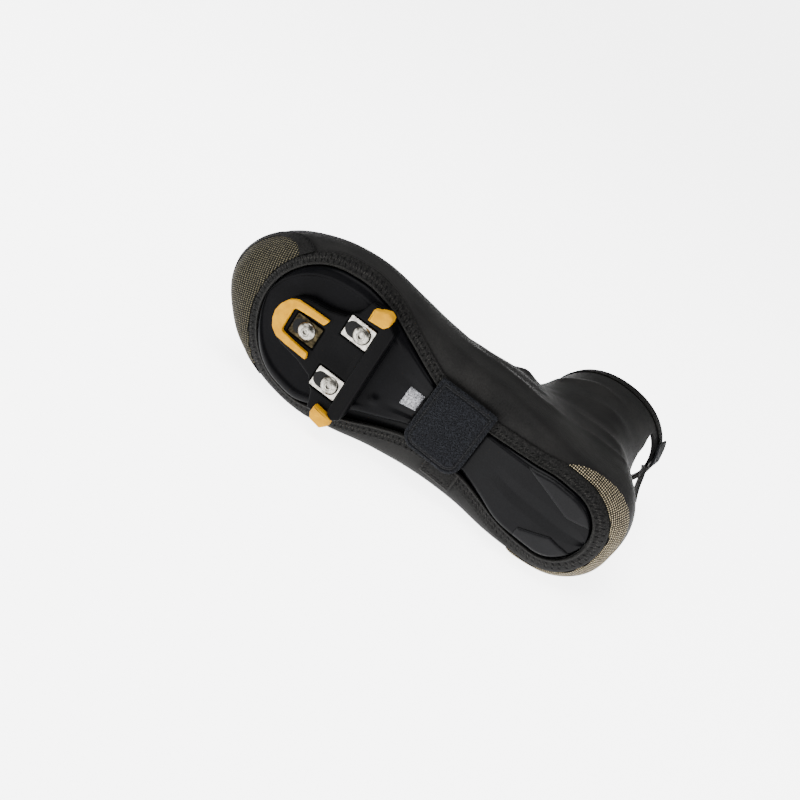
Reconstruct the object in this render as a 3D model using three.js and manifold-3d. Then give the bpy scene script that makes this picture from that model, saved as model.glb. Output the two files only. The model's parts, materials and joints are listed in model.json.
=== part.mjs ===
// Cycling overshoe for a left foot, with the road shoe's outsole and cleat showing through its underside.
// Worked out in the shoe's own frame, in millimetres: +x to the toe, +y to its left, +z up from the sole.
// At the end everything is laid on its right side, sole towards -Y, toe towards -X, with the floor at z = 0.
import * as THREE from 'three';
import { mergeVertices } from 'three/addons/utils/BufferGeometryUtils.js';
import { ConvexHull } from 'three/addons/math/ConvexHull.js';
import Module from 'manifold-3d';

const wasm = await Module();
wasm.setup();

// Driving sizes of the overshoe
const shoeLength = 267;
const ballHalf = 49;
const collarHeight = 177;
const wall = 3;
const fitGap = 0.3;
const outerGrid = { stations: 40, around: 30 };
const innerGrid = { stations: 30, around: 24 };

// Pieces laid on the outside of the upper, each a layer with a gap below it
const bandThick = 0.9;
const panelThick = 1.0;
const cuffThick = 1.0;
const catchThick = 0.9;
const strapThick = 1.6;
const bandLevel = fitGap;
const catchLevel = bandLevel + bandThick + fitGap;
const strapLevel = catchLevel + catchThick + fitGap;
const bandWidth = 7.8;
const bandHeelWidth = 8;
const bandToeWidth = 4.5;
const cuffDepth = 8;
const tabWidth = 14;
const tabHeight = 19;
const tabThick = 1.4;

// How high the band reaches up the sides, and up round the heel and toe
const bandSideTop = 8.5;
const bandEndTop = 12;

// Underside opening: insets of its ends from the heel's back and the toe's tip, and the reach of each round
const openHeelInset = 15.5;
const openToeInset = 27.5;
const heelRound = 22;
const toeRound = 36;
const openTop = 17;

// Toe panel: where its edge crosses the underside, back from the tip, and the two slopes of its top edge
const toePanelReach = 48;
const toePanelDrop = 2.5;
const toePanelPitch = -0.46;
const toePanelRoll = -0.11;
const toePanelTop = 13;

// Strap under the arch. Its counterpart shows past its free end and heel side, and stops short of its toe side
const strapWidth = 38;
const strapCorner = 9;
const catchShow = 8.5;
const catchLength = 13;
const catchOverhang = 2;
const catchInset = 19;

// Rear slit
const slitWidth = 26;

// Outsole and insole: heights above the floor plane and the reliefs on the tread
const archRise = 8;
const plateHeight = 12;
const soleGap = 0.6;
const soleLap = 1.5;
const edgeRise = 1.6;
const foreEdgeRise = 1.2;
const spineRise = 0.9;
const channelDepth = 1.1;
const insoleThick = 3;
const padThick = 1.2;

// Cleat
const cleatFore = 34;
const cleatHalf = 37.5;
const cleatYaw = -0.03;
const cleatFace = -1.0;
const cleatBodyThick = 6.4;
const cleatLipThick = 3.6;
const frontPadThick = 2.2;
const rearPadThick = 4.2;
const boltSpread = 17.65;
const boltRearU = -13.6;
const boltFrontU = 13.6;
const washerLong = 17;
const washerWide = 13;
const washerThick = 1.3;
const rearWasherAhead = 2.2;
const frontWasherAhead = 0.9;
const boltRadius = 5.3;
const boltThick = 2.2;
const socketRadius = 2.5;
const socketDepth = 1.5;

// How far the cutting shapes reach past what they cut
const cutReach = 40;

// Places along and across the shoe, as shares of shoeLength and ballHalf
const openHeelEnd = openHeelInset;
const openToeEnd = shoeLength - openToeInset;
const strapMiddle = 0.4232 * shoeLength;
const strapBack = strapMiddle - strapWidth / 2;
const strapFront = strapMiddle + strapWidth / 2;
const strapLeft = 0.51 * ballHalf;
const strapRight = 0.42 * ballHalf;
const cleatX = 0.7213 * shoeLength;
const cleatY = 0.012 * ballHalf;
const tabSide = 0.19 * ballHalf;

// Sections of the overshoe from toe to collar. Each lies between a point on the top or front line and a point
// on the low or back line. x is a share of shoeLength, z of collarHeight, half and shift of ballHalf.
// widest: how far down the section is widest. crown and floor: how square its upper and lower halves are.
const formColumns = ['topX', 'topZ', 'lowX', 'lowZ', 'half', 'shift', 'widest', 'crown', 'floor'];
const formTable = [
  ['tip',      1.000, 0.115, 1.000, 0.115, 0.000,  0.000, 0.50, 2.0, 2.0],
  ['nose',     0.988, 0.191, 0.981, 0.054, 0.320, -0.006, 0.52, 2.1, 2.4],
  ['toe',      0.957, 0.241, 0.944, 0.034, 0.572, -0.008, 0.58, 2.2, 3.0],
  ['toeBox',   0.901, 0.279, 0.893, 0.020, 0.775, -0.006, 0.64, 2.2, 4.0],
  ['ballFore', 0.822, 0.311, 0.816, 0.014, 0.940,  0.000, 0.68, 2.1, 4.6],
  ['ball',     0.732, 0.350, 0.728, 0.009, 1.000,  0.004, 0.72, 2.0, 5.0],
  ['ballAft',  0.644, 0.393, 0.635, 0.006, 0.935,  0.000, 0.75, 2.0, 5.0],
  ['instep',   0.566, 0.457, 0.540, 0.027, 0.826,  0.002, 0.78, 2.0, 5.0],
  ['waist',    0.499, 0.529, 0.429, 0.044, 0.763,  0.008, 0.79, 2.0, 4.6],
  ['waistAft', 0.458, 0.592, 0.321, 0.040, 0.745,  0.014, 0.79, 2.0, 4.4],
  ['heelFore', 0.429, 0.629, 0.216, 0.009, 0.733,  0.010, 0.79, 2.0, 4.4],
  ['heel',     0.412, 0.654, 0.113, 0.000, 0.700,  0.008, 0.79, 2.0, 4.0],
  ['heelLow',  0.399, 0.676, 0.043, 0.026, 0.673,  0.006, 0.78, 2.0, 3.0],
  ['heelBack', 0.387, 0.703, 0.000, 0.133, 0.647,  0.000, 0.76, 2.0, 2.4],
  ['counter',  0.377, 0.731, 0.004, 0.274, 0.606, -0.006, 0.70, 2.0, 2.0],
  ['achilles', 0.364, 0.769, 0.031, 0.450, 0.580, -0.008, 0.62, 2.0, 1.8],
  ['ankle',    0.352, 0.819, 0.046, 0.590, 0.596, -0.010, 0.56, 2.0, 1.9],
  ['shaft',    0.341, 0.877, 0.045, 0.741, 0.618, -0.014, 0.52, 2.1, 2.1],
  ['shaftUp',  0.331, 0.945, 0.034, 0.877, 0.649, -0.020, 0.50, 2.2, 2.1],
  ['collar',   0.321, 1.004, 0.024, 0.993, 0.667, -0.027, 0.50, 2.2, 2.1],
];

// Underside from heel to toe. x is a share of shoeLength; left and right are the opening's half widths
// and bare is the sole's setback on the right, as shares of ballHalf. tread is a share of archRise and plate
// of plateHeight; both are heights above the floor plane.
const underColumns = ['x', 'left', 'right', 'bare', 'tread', 'plate'];
const underTable = [
  ['heelEnd',   0.058, 0.450, 0.450, 0.000,  0.375, 1.125],
  ['heelRound', 0.112, 0.445, 0.445, 0.000, -0.175, 1.000],
  ['heel',      0.187, 0.450, 0.450, 0.000, -0.200, 1.000],
  ['heelFore',  0.236, 0.400, 0.430, 0.000, -0.150, 1.000],
  ['breast',    0.295, 0.343, 0.372, 0.010,  0.450, 1.125],
  ['arch',      0.345, 0.305, 0.335, 0.020,  0.912, 1.375],
  ['waist',     0.420, 0.290, 0.315, 0.060,  1.000, 1.458],
  ['waistFore', 0.487, 0.350, 0.365, 0.105,  0.750, 1.333],
  ['shank',     0.543, 0.480, 0.480, 0.115,  0.275, 1.125],
  ['ballRear',  0.600, 0.630, 0.620, 0.130, -0.100, 1.000],
  ['ballAft',   0.652, 0.755, 0.735, 0.060, -0.125, 1.000],
  ['ball',      0.719, 0.815, 0.845, 0.000, -0.125, 1.000],
  ['ballFore',  0.779, 0.785, 0.830, 0.000, -0.125, 1.000],
  ['toe',       0.839, 0.765, 0.805, 0.000, -0.100, 1.042],
  ['toeEnd',    0.897, 0.735, 0.775, 0.000,  0.225, 1.208],
];
const plateEnds = { heel: 1.125, toe: 2.0 };

// Reliefs of the tread: where each fades in and out, as shares of shoeLength
const foreEdgeFade = [0.562, 0.622];
const spineFade = [0.232, 0.330];
const channelFadeIn = [0.479, 0.524];
const channelFadeOut = [0.569, 0.607];

// Side view lines, x as a share of shoeLength and z of collarHeight
const heelPanelLine = [[-0.075, 0.107], [0.03, 0.102], [0.1, 0.078], [0.2, 0.012]];

// The heel pads and the window on the tread, x as shares of shoeLength and y of ballHalf
const heelPadLeftPlan = [[0.247, 0.347], [0.124, 0.153], [0.071, 0.194], [0.079, 0.816], [0.247, 0.816]];
const heelPadRightPlan = [[0.187, -0.296], [0.187, -0.816], [0.079, -0.816], [0.071, -0.194], [0.124, -0.143]];
const windowPlan = [[0.5, -0.041], [0.536, -0.061], [0.536, 0.184], [0.5, 0.163]];

// Rear slit of the open zip, from top to foot: height as a share of collarHeight, its left and right edges
// as shares of slitWidth
const slitTable = [
  ['top',   0.890, 0.846, -0.538],
  ['upper', 0.845, 0.792, -0.538],
  ['mid',   0.775, 0.704, -0.462],
  ['lower', 0.700, 0.662, -0.270],
  ['low',   0.630, 0.600,  0.000],
  ['foot',  0.580, 0.588,  0.250],
  ['tip',   0.520, 0.596,  0.480],
];

// Half outlines in the cleat's own plan: u forward as a share of cleatFore, w to the side as one of cleatHalf
const bodyShares = [[1, 0], [0.97, 0.173], [0.868, 0.32], [0.676, 0.416], [0.294, 0.467], [0, 0.56],
  [-0.176, 0.747], [-0.265, 0.987], [-0.647, 1], [-0.735, 0.88], [-0.853, 0.8], [-0.853, 0]];
const lipShares = [[-0.603, 0], [-0.603, 0.8], [-0.721, 0.893], [-0.853, 0.813], [-0.853, 0]];
const frontPadOuterShares = [[1.018, 0], [0.988, 0.133], [0.912, 0.253], [0.779, 0.336], [0.588, 0.357],
  [0.188, 0.352]];
const frontPadInnerShares = [[0.182, 0.237], [0.441, 0.229], [0.741, 0.203], [0.762, 0.181], [0.765, 0]];
const rearPadShares = [[-0.309, 0.787], [-0.294, 0.947], [-0.382, 1.035], [-0.588, 1.035], [-0.662, 0.933],
  [-0.603, 0.821]];

// Small tools

function record(columns, line, shares) {
  const entry = {};
  columns.forEach((column, k) => {
    entry[column] = line[k + 1] * (shares[column] ?? 1);
  });
  return entry;
}

function blend(columns, rows, s) {
  const last = rows.length - 1;
  const i = Math.min(Math.max(Math.floor(s), 0), last - 1);
  const f = s - i;
  const at = (k) => {
    if (k > last) return extended(columns, rows[last], rows[last - 1]);
    if (k < 0) return rows.mirrored ?? extended(columns, rows[0], rows[1]);
    return rows[k];
  };
  const [a, b, c, d] = [at(i - 1), at(i), at(i + 1), at(i + 2)];
  const out = {};
  for (const name of columns) {
    const bend = 2 * a[name] - 5 * b[name] + 4 * c[name] - d[name];
    const rest = 3 * (b[name] - c[name]) + d[name] - a[name];
    out[name] = b[name] + 0.5 * f * (c[name] - a[name] + f * (bend + f * rest));
  }
  return out;
}

function extended(columns, end, before) {
  const out = {};
  for (const name of columns) out[name] = 2 * end[name] - before[name];
  return out;
}

function power(value, exponent) {
  return Math.sign(value) * Math.abs(value) ** exponent;
}

function solidOf(geometry) {
  const clean = geometry.clone();
  clean.deleteAttribute('normal');
  clean.deleteAttribute('uv');
  const merged = mergeVertices(clean, 1e-5);
  const vertProperties = new Float32Array(merged.attributes.position.array);
  const triVerts = new Uint32Array(merged.index.array);
  return new wasm.Manifold(new wasm.Mesh({ numProp: 3, vertProperties, triVerts }));
}

function geometryOf(solid) {
  const mesh = solid.getMesh();
  const geometry = new THREE.BufferGeometry();
  const count = mesh.vertProperties.length / mesh.numProp;
  const positions = new Float32Array(count * 3);
  for (let k = 0; k < count; k += 1) {
    const from = k * mesh.numProp;
    positions.set(mesh.vertProperties.subarray(from, from + 3), 3 * k);
  }
  geometry.setAttribute('position', new THREE.BufferAttribute(positions, 3));
  geometry.setIndex(new THREE.BufferAttribute(new Uint32Array(mesh.triVerts), 1));
  geometry.computeVertexNormals();
  return geometry;
}

// A closed skin over rings of points, from one end point to the other
function loft(rings, start, end) {
  const points = [start];
  for (const ring of rings) points.push(...ring);
  points.push(end);
  const size = rings[0].length;
  const index = [];
  for (let j = 0; j < size; j += 1) {
    const next = (j + 1) % size;
    index.push(0, 1 + next, 1 + j);
    for (let i = 0; i < rings.length - 1; i += 1) {
      const here = 1 + i * size;
      const there = here + size;
      index.push(here + j, here + next, there + next, here + j, there + next, there + j);
    }
    const lastRing = 1 + (rings.length - 1) * size;
    index.push(lastRing + j, lastRing + next, points.length - 1);
  }
  const geometry = new THREE.BufferGeometry().setFromPoints(points);
  geometry.setIndex(index);
  return solidOf(geometry);
}

// An outline in plan, carried straight up from low to high
function prism(outline, low, high) {
  const shape = new THREE.Shape(outline.map(([x, y]) => new THREE.Vector2(x, y)));
  const geometry = new THREE.ExtrudeGeometry(shape, { depth: high - low, bevelEnabled: false });
  geometry.translate(0, 0, low);
  return solidOf(geometry);
}

// An outline in the side view, carried across the shoe
function sideBlock(outline, reach) {
  const shape = new THREE.Shape(outline.map(([x, z]) => new THREE.Vector2(x, z)));
  const geometry = new THREE.ExtrudeGeometry(shape, { depth: 2 * reach, bevelEnabled: false });
  geometry.rotateX(Math.PI / 2);
  geometry.translate(0, reach, 0);
  return solidOf(geometry);
}

function scaled(points, first, second) {
  return points.map(([a, b]) => [a * first, b * second]);
}

function mirroredOutline(half) {
  const other = half.filter(([, w]) => w !== 0).map(([u, w]) => [u, -w]).reverse();
  return [...half, ...other];
}

// The overshoe's form

const formShares = { topX: shoeLength, topZ: collarHeight, lowX: shoeLength, lowZ: collarHeight, half: ballHalf,
  shift: ballHalf };
const formRows = formTable.map((line) => record(formColumns, line, formShares));
const noseRow = formRows[1];
const turnedLines = { topX: noseRow.lowX, topZ: noseRow.lowZ, lowX: noseRow.topX, lowZ: noseRow.topZ };
formRows.mirrored = { ...noseRow, ...turnedLines, half: -noseRow.half };

// A point of the form: the section at s, and phi running from its top down the left side and up the right
function formPoint(s, phi) {
  const row = blend(formColumns, formRows, s);
  const up = Math.cos(phi);
  const side = Math.sin(phi);
  const exponent = 2 / (up > 0 ? row.crown : row.floor);
  const rise = power(up, exponent);
  const depth = up > 0 ? row.widest * (1 - rise) : row.widest - (1 - row.widest) * rise;
  return new THREE.Vector3(
    row.topX + (row.lowX - row.topX) * depth,
    row.shift + row.half * power(side, exponent),
    row.topZ + (row.lowZ - row.topZ) * depth);
}

function formNormal(s, phi, step) {
  const along = formPoint(s + 0.2, phi).sub(formPoint(s - 0.2, phi));
  const across = formPoint(s, phi + step).sub(formPoint(s, phi - step));
  return across.cross(along).normalize();
}

// The whole form, set out or in from the upper's outer face, closed past the collar by a share of a section
function form(offset, past, grid) {
  const rings = [];
  const { stations, around } = grid;
  const step = 2 * Math.PI / around;
  const last = formRows.length - 1;
  const places = [];
  for (let i = 1; i <= stations; i += 1) places.push(last * i / stations);
  if (past > 0) places.push(last + past);
  for (const s of places) {
    const ring = [];
    for (let j = 0; j < around; j += 1) {
      ring.push(formPoint(s, j * step).addScaledVector(formNormal(s, j * step, step), offset));
    }
    rings.push(ring);
  }
  const tip = formPoint(0, 0).add(new THREE.Vector3(offset, 0, 0));
  const end = blend(formColumns, formRows, last + past);
  const middle = new THREE.Vector3((end.topX + end.lowX) / 2, end.shift, (end.topZ + end.lowZ) / 2);
  return loft(rings, tip, middle);
}

function layer(level, thick) {
  return form(level + thick, 0, outerGrid).subtract(form(level, 0.4, outerGrid));
}

// The underside

const underShares = { x: shoeLength, left: ballHalf, right: ballHalf, bare: ballHalf, tread: archRise,
  plate: plateHeight };
const underRows = underTable.map((line) => record(underColumns, line, underShares));

function underAt(x) {
  let k = 0;
  while (k < underRows.length - 2 && x > underRows[k + 1].x) k += 1;
  const here = underRows[k].x;
  const share = Math.min(Math.max((x - here) / (underRows[k + 1].x - here), 0), 1);
  return blend(underColumns, underRows, k + share);
}

function roundedEnd(distance, reach) {
  const left = 1 - Math.min(Math.max(distance / reach, 0), 1);
  return Math.sqrt(Math.max(1 - left * left, 0));
}

// Half widths at x for the opening grown sideways, and by its own amounts at heel and toe
function openingAt(x, grow, heelGrow, toeGrow) {
  const row = underAt(x);
  const heelShare = roundedEnd(x - openHeelEnd + heelGrow, heelRound + heelGrow);
  const toeShare = roundedEnd(openToeEnd + toeGrow - x, toeRound + toeGrow);
  const share = heelShare * toeShare;
  return { left: (row.left + grow) * share, right: (row.right + grow) * share, row };
}

function openingOutline(grow, heelGrow, toeGrow, steps = 30) {
  const start = openHeelEnd - heelGrow;
  const length = openToeEnd + toeGrow - start;
  const left = [];
  const right = [];
  for (let i = 0; i <= steps; i += 1) {
    const x = start + length * (1 - Math.cos(Math.PI * i / steps)) / 2;
    const half = openingAt(x, grow, heelGrow, toeGrow);
    left.push([x, half.left]);
    if (i > 0 && i < steps) right.push([x, -half.right]);
  }
  return [...right, ...left.reverse()];
}

// The outsole's visible underside, as rings across the shoe closed by a flat top at the given height above it
const treadStations = 34;
const treadSteps = 10;

function fade(x, [from, to]) {
  return THREE.MathUtils.smoothstep(x / shoeLength, from, to);
}

function treadHeight(x, share, row) {
  const edge = Math.abs(share) ** 6;
  const heelPart = 1 - fade(x, spineFade);
  const spine = heelPart * Math.max(0, 1 - Math.abs(share) / 0.28);
  const channels = fade(x, channelFadeIn) * (1 - fade(x, channelFadeOut));
  const groove = channels * Math.max(0, 1 - Math.abs(Math.abs(share) - 0.45) / 0.2);
  const rim = edge * (edgeRise + foreEdgeRise * fade(x, foreEdgeFade));
  return row.tread + rim + spineRise * spine + channelDepth * groove;
}

function treadSlab(low, top) {
  const rings = [];
  const start = openHeelEnd + soleGap;
  const length = openToeEnd - soleGap - start;
  for (let i = 1; i < treadStations; i += 1) {
    const x = start + length * (1 - Math.cos(Math.PI * i / treadStations)) / 2;
    const half = openingAt(x, -soleGap, -soleGap, -soleGap);
    const left = half.left;
    const right = Math.max(half.right - half.row.bare, soleGap);
    const ring = [];
    for (let j = 0; j <= treadSteps; j += 1) {
      const share = 2 * j / treadSteps - 1;
      const y = share < 0 ? share * right : share * left;
      ring.push(new THREE.Vector3(x, y, treadHeight(x, share, half.row) + low));
    }
    const height = top(x, half.row);
    ring.push(new THREE.Vector3(x, left, height));
    ring.push(new THREE.Vector3(x, -right, height));
    rings.push(ring);
  }
  const endPoint = (x) => {
    const row = underAt(x);
    return new THREE.Vector3(x, 0, (row.tread + low + top(x, row)) / 2);
  };
  return loft(rings, endPoint(start), endPoint(start + length));
}

// Pieces

const outer = form(0, 0, outerGrid);
const cutSide = ballHalf + cutReach;
const opening = prism(openingOutline(0, 0, 0), -cutReach, openTop);
const bandTop = [[-cutReach, bandEndTop], [0.09 * shoeLength, bandEndTop], [0.165 * shoeLength, bandSideTop],
  [0.9 * shoeLength, bandSideTop], [0.98 * shoeLength, bandEndTop], [0.98 * shoeLength, -cutReach],
  [-cutReach, -cutReach]];
const bandArea = prism(openingOutline(bandWidth, bandHeelWidth, bandToeWidth), -cutReach, openTop)
  .intersect(sideBlock(bandTop, cutSide));
const bandClear = prism(
  openingOutline(bandWidth + fitGap, bandHeelWidth + fitGap, bandToeWidth + fitGap), -cutReach, openTop);

function slitBlock() {
  const left = [];
  const right = [];
  for (const [, height, leftEdge, rightEdge] of slitTable) {
    left.push([leftEdge * slitWidth, height * collarHeight]);
    right.push([rightEdge * slitWidth, height * collarHeight]);
  }
  const outline = [...left, ...right.reverse()];
  const shape = new THREE.Shape(outline.map(([y, z]) => new THREE.Vector2(y, z)));
  const geometry = new THREE.ExtrudeGeometry(shape, { depth: 1.5 * cutReach, bevelEnabled: false });
  geometry.rotateY(Math.PI / 2);
  geometry.rotateX(Math.PI / 2);
  geometry.translate(-cutReach / 2, 0, 0);
  return solidOf(geometry);
}

const upper = outer
  .subtract(form(-wall, 0.7, innerGrid))
  .subtract(opening)
  .subtract(slitBlock());

const collarRow = formRows[formRows.length - 1];
const cuffSlope = (collarRow.topZ - collarRow.lowZ) / (collarRow.topX - collarRow.lowX);
const cuffBack = collarRow.lowZ - cuffSlope * collarRow.lowX - cuffDepth;
const cuffTop = collarHeight + cutReach;
const cuffArea = sideBlock([[-cutReach, cuffBack - cutReach * cuffSlope],
  [shoeLength, cuffBack + shoeLength * cuffSlope], [shoeLength, cuffTop], [-cutReach, cuffTop]], cutSide);
const cuff = layer(fitGap, cuffThick).intersect(cuffArea);

const band = layer(bandLevel, bandThick).intersect(bandArea).subtract(opening);

// Toe panel: below a plane that falls to the band on each side
const toePanelArea = solidOf(new THREE.BoxGeometry(3 * cutReach, 2 * cutSide, 2 * cutReach)
  .translate(1.5 * cutReach, 0, -cutReach)
  .applyMatrix4(new THREE.Matrix4().makeRotationY(toePanelPitch))
  .applyMatrix4(new THREE.Matrix4().makeRotationX(toePanelRoll))
  .translate(shoeLength - toePanelReach, 0, -toePanelDrop));
const belowToePanelTop = solidOf(new THREE.BoxGeometry(3 * cutReach, 2 * cutSide, 2 * cutReach)
  .translate(shoeLength, 0, toePanelTop - cutReach));
const toePanel = layer(fitGap, panelThick).intersect(toePanelArea).intersect(belowToePanelTop)
  .subtract(bandClear);

const heelPanelTop = scaled(heelPanelLine, shoeLength, collarHeight);
const heelPanelFore = heelPanelTop[heelPanelTop.length - 1][0];
const heelPanelArea = sideBlock([...heelPanelTop, [heelPanelFore, -cutReach], [heelPanelTop[0][0], -cutReach]],
  cutSide);
const heelPanel = layer(fitGap, panelThick).intersect(heelPanelArea).subtract(bandClear);

function strapOutline() {
  const points = [[strapBack, strapLeft]];
  const corner = (cx, cy, from) => {
    for (let k = 0; k <= 5; k += 1) {
      const turn = from + (Math.PI / 2) * k / 5;
      points.push([cx + strapCorner * Math.cos(turn), cy + strapCorner * Math.sin(turn)]);
    }
  };
  corner(strapBack + strapCorner, -strapRight + strapCorner, Math.PI);
  corner(strapFront - strapCorner, -strapRight + strapCorner, 1.5 * Math.PI);
  points.push([strapFront, strapLeft]);
  return points;
}

const strap = layer(strapLevel, strapThick).intersect(prism(strapOutline(), -cutReach, openTop));
const catchFar = -strapRight - catchShow;
const catchBack = strapBack - catchOverhang;
const catchFore = strapFront - catchInset;
const catchOutline = [[catchBack, catchFar], [catchFore, catchFar], [catchFore, catchFar + catchLength],
  [catchBack, catchFar + catchLength]];
const strapCatch = layer(catchLevel, catchThick).intersect(prism(catchOutline, -cutReach, openTop));

// Road shoe's outsole: a plate inside the upper and the part that comes down through the opening
const heelSide = -0.04 * shoeLength;
const toeSide = 1.04 * shoeLength;

function plateLine(level) {
  const rows = underRows.map((row) => [row.x, row.plate + level]);
  const heelPoint = [heelSide, plateEnds.heel * plateHeight + level];
  const toePoint = [toeSide, plateEnds.toe * plateHeight + level];
  return [heelPoint, ...rows, toePoint];
}

const plateOutline = [...plateLine(0), [toeSide, -cutReach], [heelSide, -cutReach]];
const plate = form(-wall - fitGap, 0, innerGrid).intersect(sideBlock(plateOutline, cutSide));
const outsole = treadSlab(0, (x, row) => row.plate - soleLap).add(plate);

const insoleOutline = [...plateLine(fitGap), ...plateLine(fitGap + insoleThick).reverse()];
const insole = form(-wall - 2 * fitGap, 0, innerGrid).intersect(sideBlock(insoleOutline, cutSide));

const onTread = treadSlab(-fitGap - padThick, (x, row) => row.tread + plateHeight / 2)
  .subtract(treadSlab(-fitGap, (x, row) => row.plate));
const planPrism = (plan) => prism(scaled(plan, shoeLength, ballHalf), -cutReach, openTop);
const onTreadWithin = (plan) => onTread.intersect(planPrism(plan));
const heelPadLeft = onTreadWithin(heelPadLeftPlan);
const heelPadRight = onTreadWithin(heelPadRightPlan);
const soleWindow = onTreadWithin(windowPlan);

// Cleat, in its own plan, hung under the outsole
function place(solid) {
  const geometry = geometryOf(solid);
  geometry.rotateZ(cleatYaw);
  geometry.translate(cleatX, cleatY, 0);
  return solidOf(geometry);
}

function under(outline, level, thick) {
  return prism(outline, cleatFace - level - thick, cleatFace - level);
}

// Name, place and how far ahead of the bolt its washer is centred
const bolts = [['left', boltRearU, boltSpread, rearWasherAhead], ['right', boltRearU, -boltSpread, rearWasherAhead],
  ['front', boltFrontU, 0, frontWasherAhead]];
const washerLevel = fitGap + cleatBodyThick - washerThick + fitGap;
const washerBox = (u, w, grow) => [[u - washerLong / 2 - grow, w - washerWide / 2 - grow],
  [u + washerLong / 2 + grow, w - washerWide / 2 - grow],
  [u + washerLong / 2 + grow, w + washerWide / 2 + grow],
  [u - washerLong / 2 - grow, w + washerWide / 2 + grow]];

const padRecess = 0.2;
const lipLap = cleatBodyThick / 4;
let cleatBody = under(mirroredOutline(scaled(bodyShares, cleatFore, cleatHalf)), fitGap, cleatBodyThick)
  .add(under(mirroredOutline(scaled(lipShares, cleatFore, cleatHalf)), fitGap + cleatBodyThick - lipLap,
    cleatLipThick + lipLap));
for (const [, u, w, ahead] of bolts) {
  cleatBody = cleatBody.subtract(under(washerBox(u + ahead, w, fitGap), washerLevel - fitGap, cleatBodyThick));
}

// The front pad is a U: out along one side and back along the inside, then the same on the other side
const padLevel = 2 * fitGap + cleatBodyThick;
const frontPadOuter = scaled(frontPadOuterShares, cleatFore, cleatHalf);
const frontPadInner = scaled(frontPadInnerShares, cleatFore, cleatHalf);
const frontPadHalf = [...frontPadInner.slice(0, -1).reverse(), ...frontPadOuter.slice(1).reverse()];
const frontPadPlan = [...frontPadOuter, ...frontPadInner, ...frontPadHalf.map(([u, w]) => [u, -w])];
const rearPadPlan = (sign) => scaled(rearPadShares, cleatFore, sign * cleatHalf);
const frontPad = under(frontPadPlan, padLevel, frontPadThick);
const rearPad = (sign) => under(rearPadPlan(sign), padLevel, rearPadThick);

// The body is a little lower under the pads
for (const plan of [frontPadPlan, rearPadPlan(1), rearPadPlan(-1)]) {
  cleatBody = cleatBody.subtract(under(plan, fitGap + cleatBodyThick - padRecess, padRecess + fitGap / 2));
}

function disc(u, w, radius, level, thick, sides) {
  const outline = [];
  for (let k = 0; k < sides; k += 1) {
    const turn = 2 * Math.PI * k / sides;
    outline.push([u + radius * Math.cos(turn), w + radius * Math.sin(turn)]);
  }
  return under(outline, level, thick);
}

const washer = (u, w) => under(washerBox(u, w, 0), washerLevel, washerThick);
const boltLevel = washerLevel + washerThick + fitGap;
const bolt = (u, w) => disc(u, w, boltRadius, boltLevel, boltThick, 20)
  .subtract(disc(u, w, socketRadius, boltLevel + boltThick - socketDepth, boltThick, 6));

// Hook-and-loop tab at the back of the collar
const tabArea = solidOf(new THREE.BoxGeometry(cutReach, tabWidth, tabHeight)
  .translate(0, tabSide, collarRow.lowZ - tabHeight / 2));
const collarTab = layer(2 * fitGap + cuffThick, tabThick).intersect(tabArea);

const pieces = [
  ['upper', upper, 0x1d1c1b],
  ['outsole', outsole, 0x141416],
  ['insole', insole, 0x3a3a3c],
  ['bottom_band', band, 0x171615],
  ['toe_panel', toePanel, 0x5d5444],
  ['heel_panel', heelPanel, 0x6b6150],
  ['cuff', cuff, 0x1b1a1a],
  ['collar_tab', collarTab, 0x202022],
  ['strap', strap, 0x15171b],
  ['strap_catch', strapCatch, 0x1a1a1c],
  ['heel_pad_left', heelPadLeft, 0x232325],
  ['heel_pad_right', heelPadRight, 0x232325],
  ['sole_window', soleWindow, 0x8b8c90],
  ['cleat_body', place(cleatBody), 0x18181a],
  ['cleat_front_pad', place(frontPad), 0xe8a62c],
  ['cleat_pad_left', place(rearPad(1)), 0xe8a62c],
  ['cleat_pad_right', place(rearPad(-1)), 0xe8a62c],
];
for (const [name, u, w, ahead] of bolts) {
  pieces.push([`washer_${name}`, place(washer(u + ahead, w)), 0xb9b6ae]);
  pieces.push([`bolt_${name}`, place(bolt(u, w)), 0xd3d0c8]);
}

// Laid down: the flat spot of the whole shoe's right side that lies under its middle becomes the floor
const allPoints = [];
const geometries = pieces.map(([, solid]) => geometryOf(solid));
for (const geometry of geometries) {
  const position = geometry.attributes.position;
  for (let k = 0; k < position.count; k += 1) {
    allPoints.push(new THREE.Vector3().fromBufferAttribute(position, k));
  }
}
const hull = new ConvexHull().setFromPoints(allPoints);
const middle = new THREE.Vector3(0.42 * shoeLength, 0, 0.34 * collarHeight);
let floorNormal = new THREE.Vector3(0, -1, 0);
let best = Infinity;
for (const face of hull.faces) {
  const distance = face.distanceToPoint(middle);
  if (face.normal.y > -0.9 || distance > 0) continue;
  const foot = middle.clone().addScaledVector(face.normal, -distance);
  let edge = face.edge;
  let inside = true;
  do {
    const from = edge.tail().point;
    const side = edge.head().point.clone().sub(from);
    if (side.cross(foot.clone().sub(from)).dot(face.normal) < 0) inside = false;
    edge = edge.next;
  } while (edge !== face.edge);
  if (inside && -distance < best) {
    best = -distance;
    floorNormal = face.normal.clone();
  }
}
const upAxis = floorNormal.clone().negate();
const rightAxis = new THREE.Vector3(-1, 0, 0);
rightAxis.addScaledVector(upAxis, -rightAxis.dot(upAxis)).normalize();
const backAxis = upAxis.clone().cross(rightAxis);
const lay = new THREE.Matrix4().makeBasis(rightAxis, backAxis, upAxis).transpose();
const bounds = new THREE.Box3();
for (const point of allPoints) bounds.expandByPoint(point.clone().applyMatrix4(lay));
const centre = bounds.getCenter(new THREE.Vector3());
lay.premultiply(new THREE.Matrix4().makeTranslation(-centre.x, -centre.y, -bounds.min.z));

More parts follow.
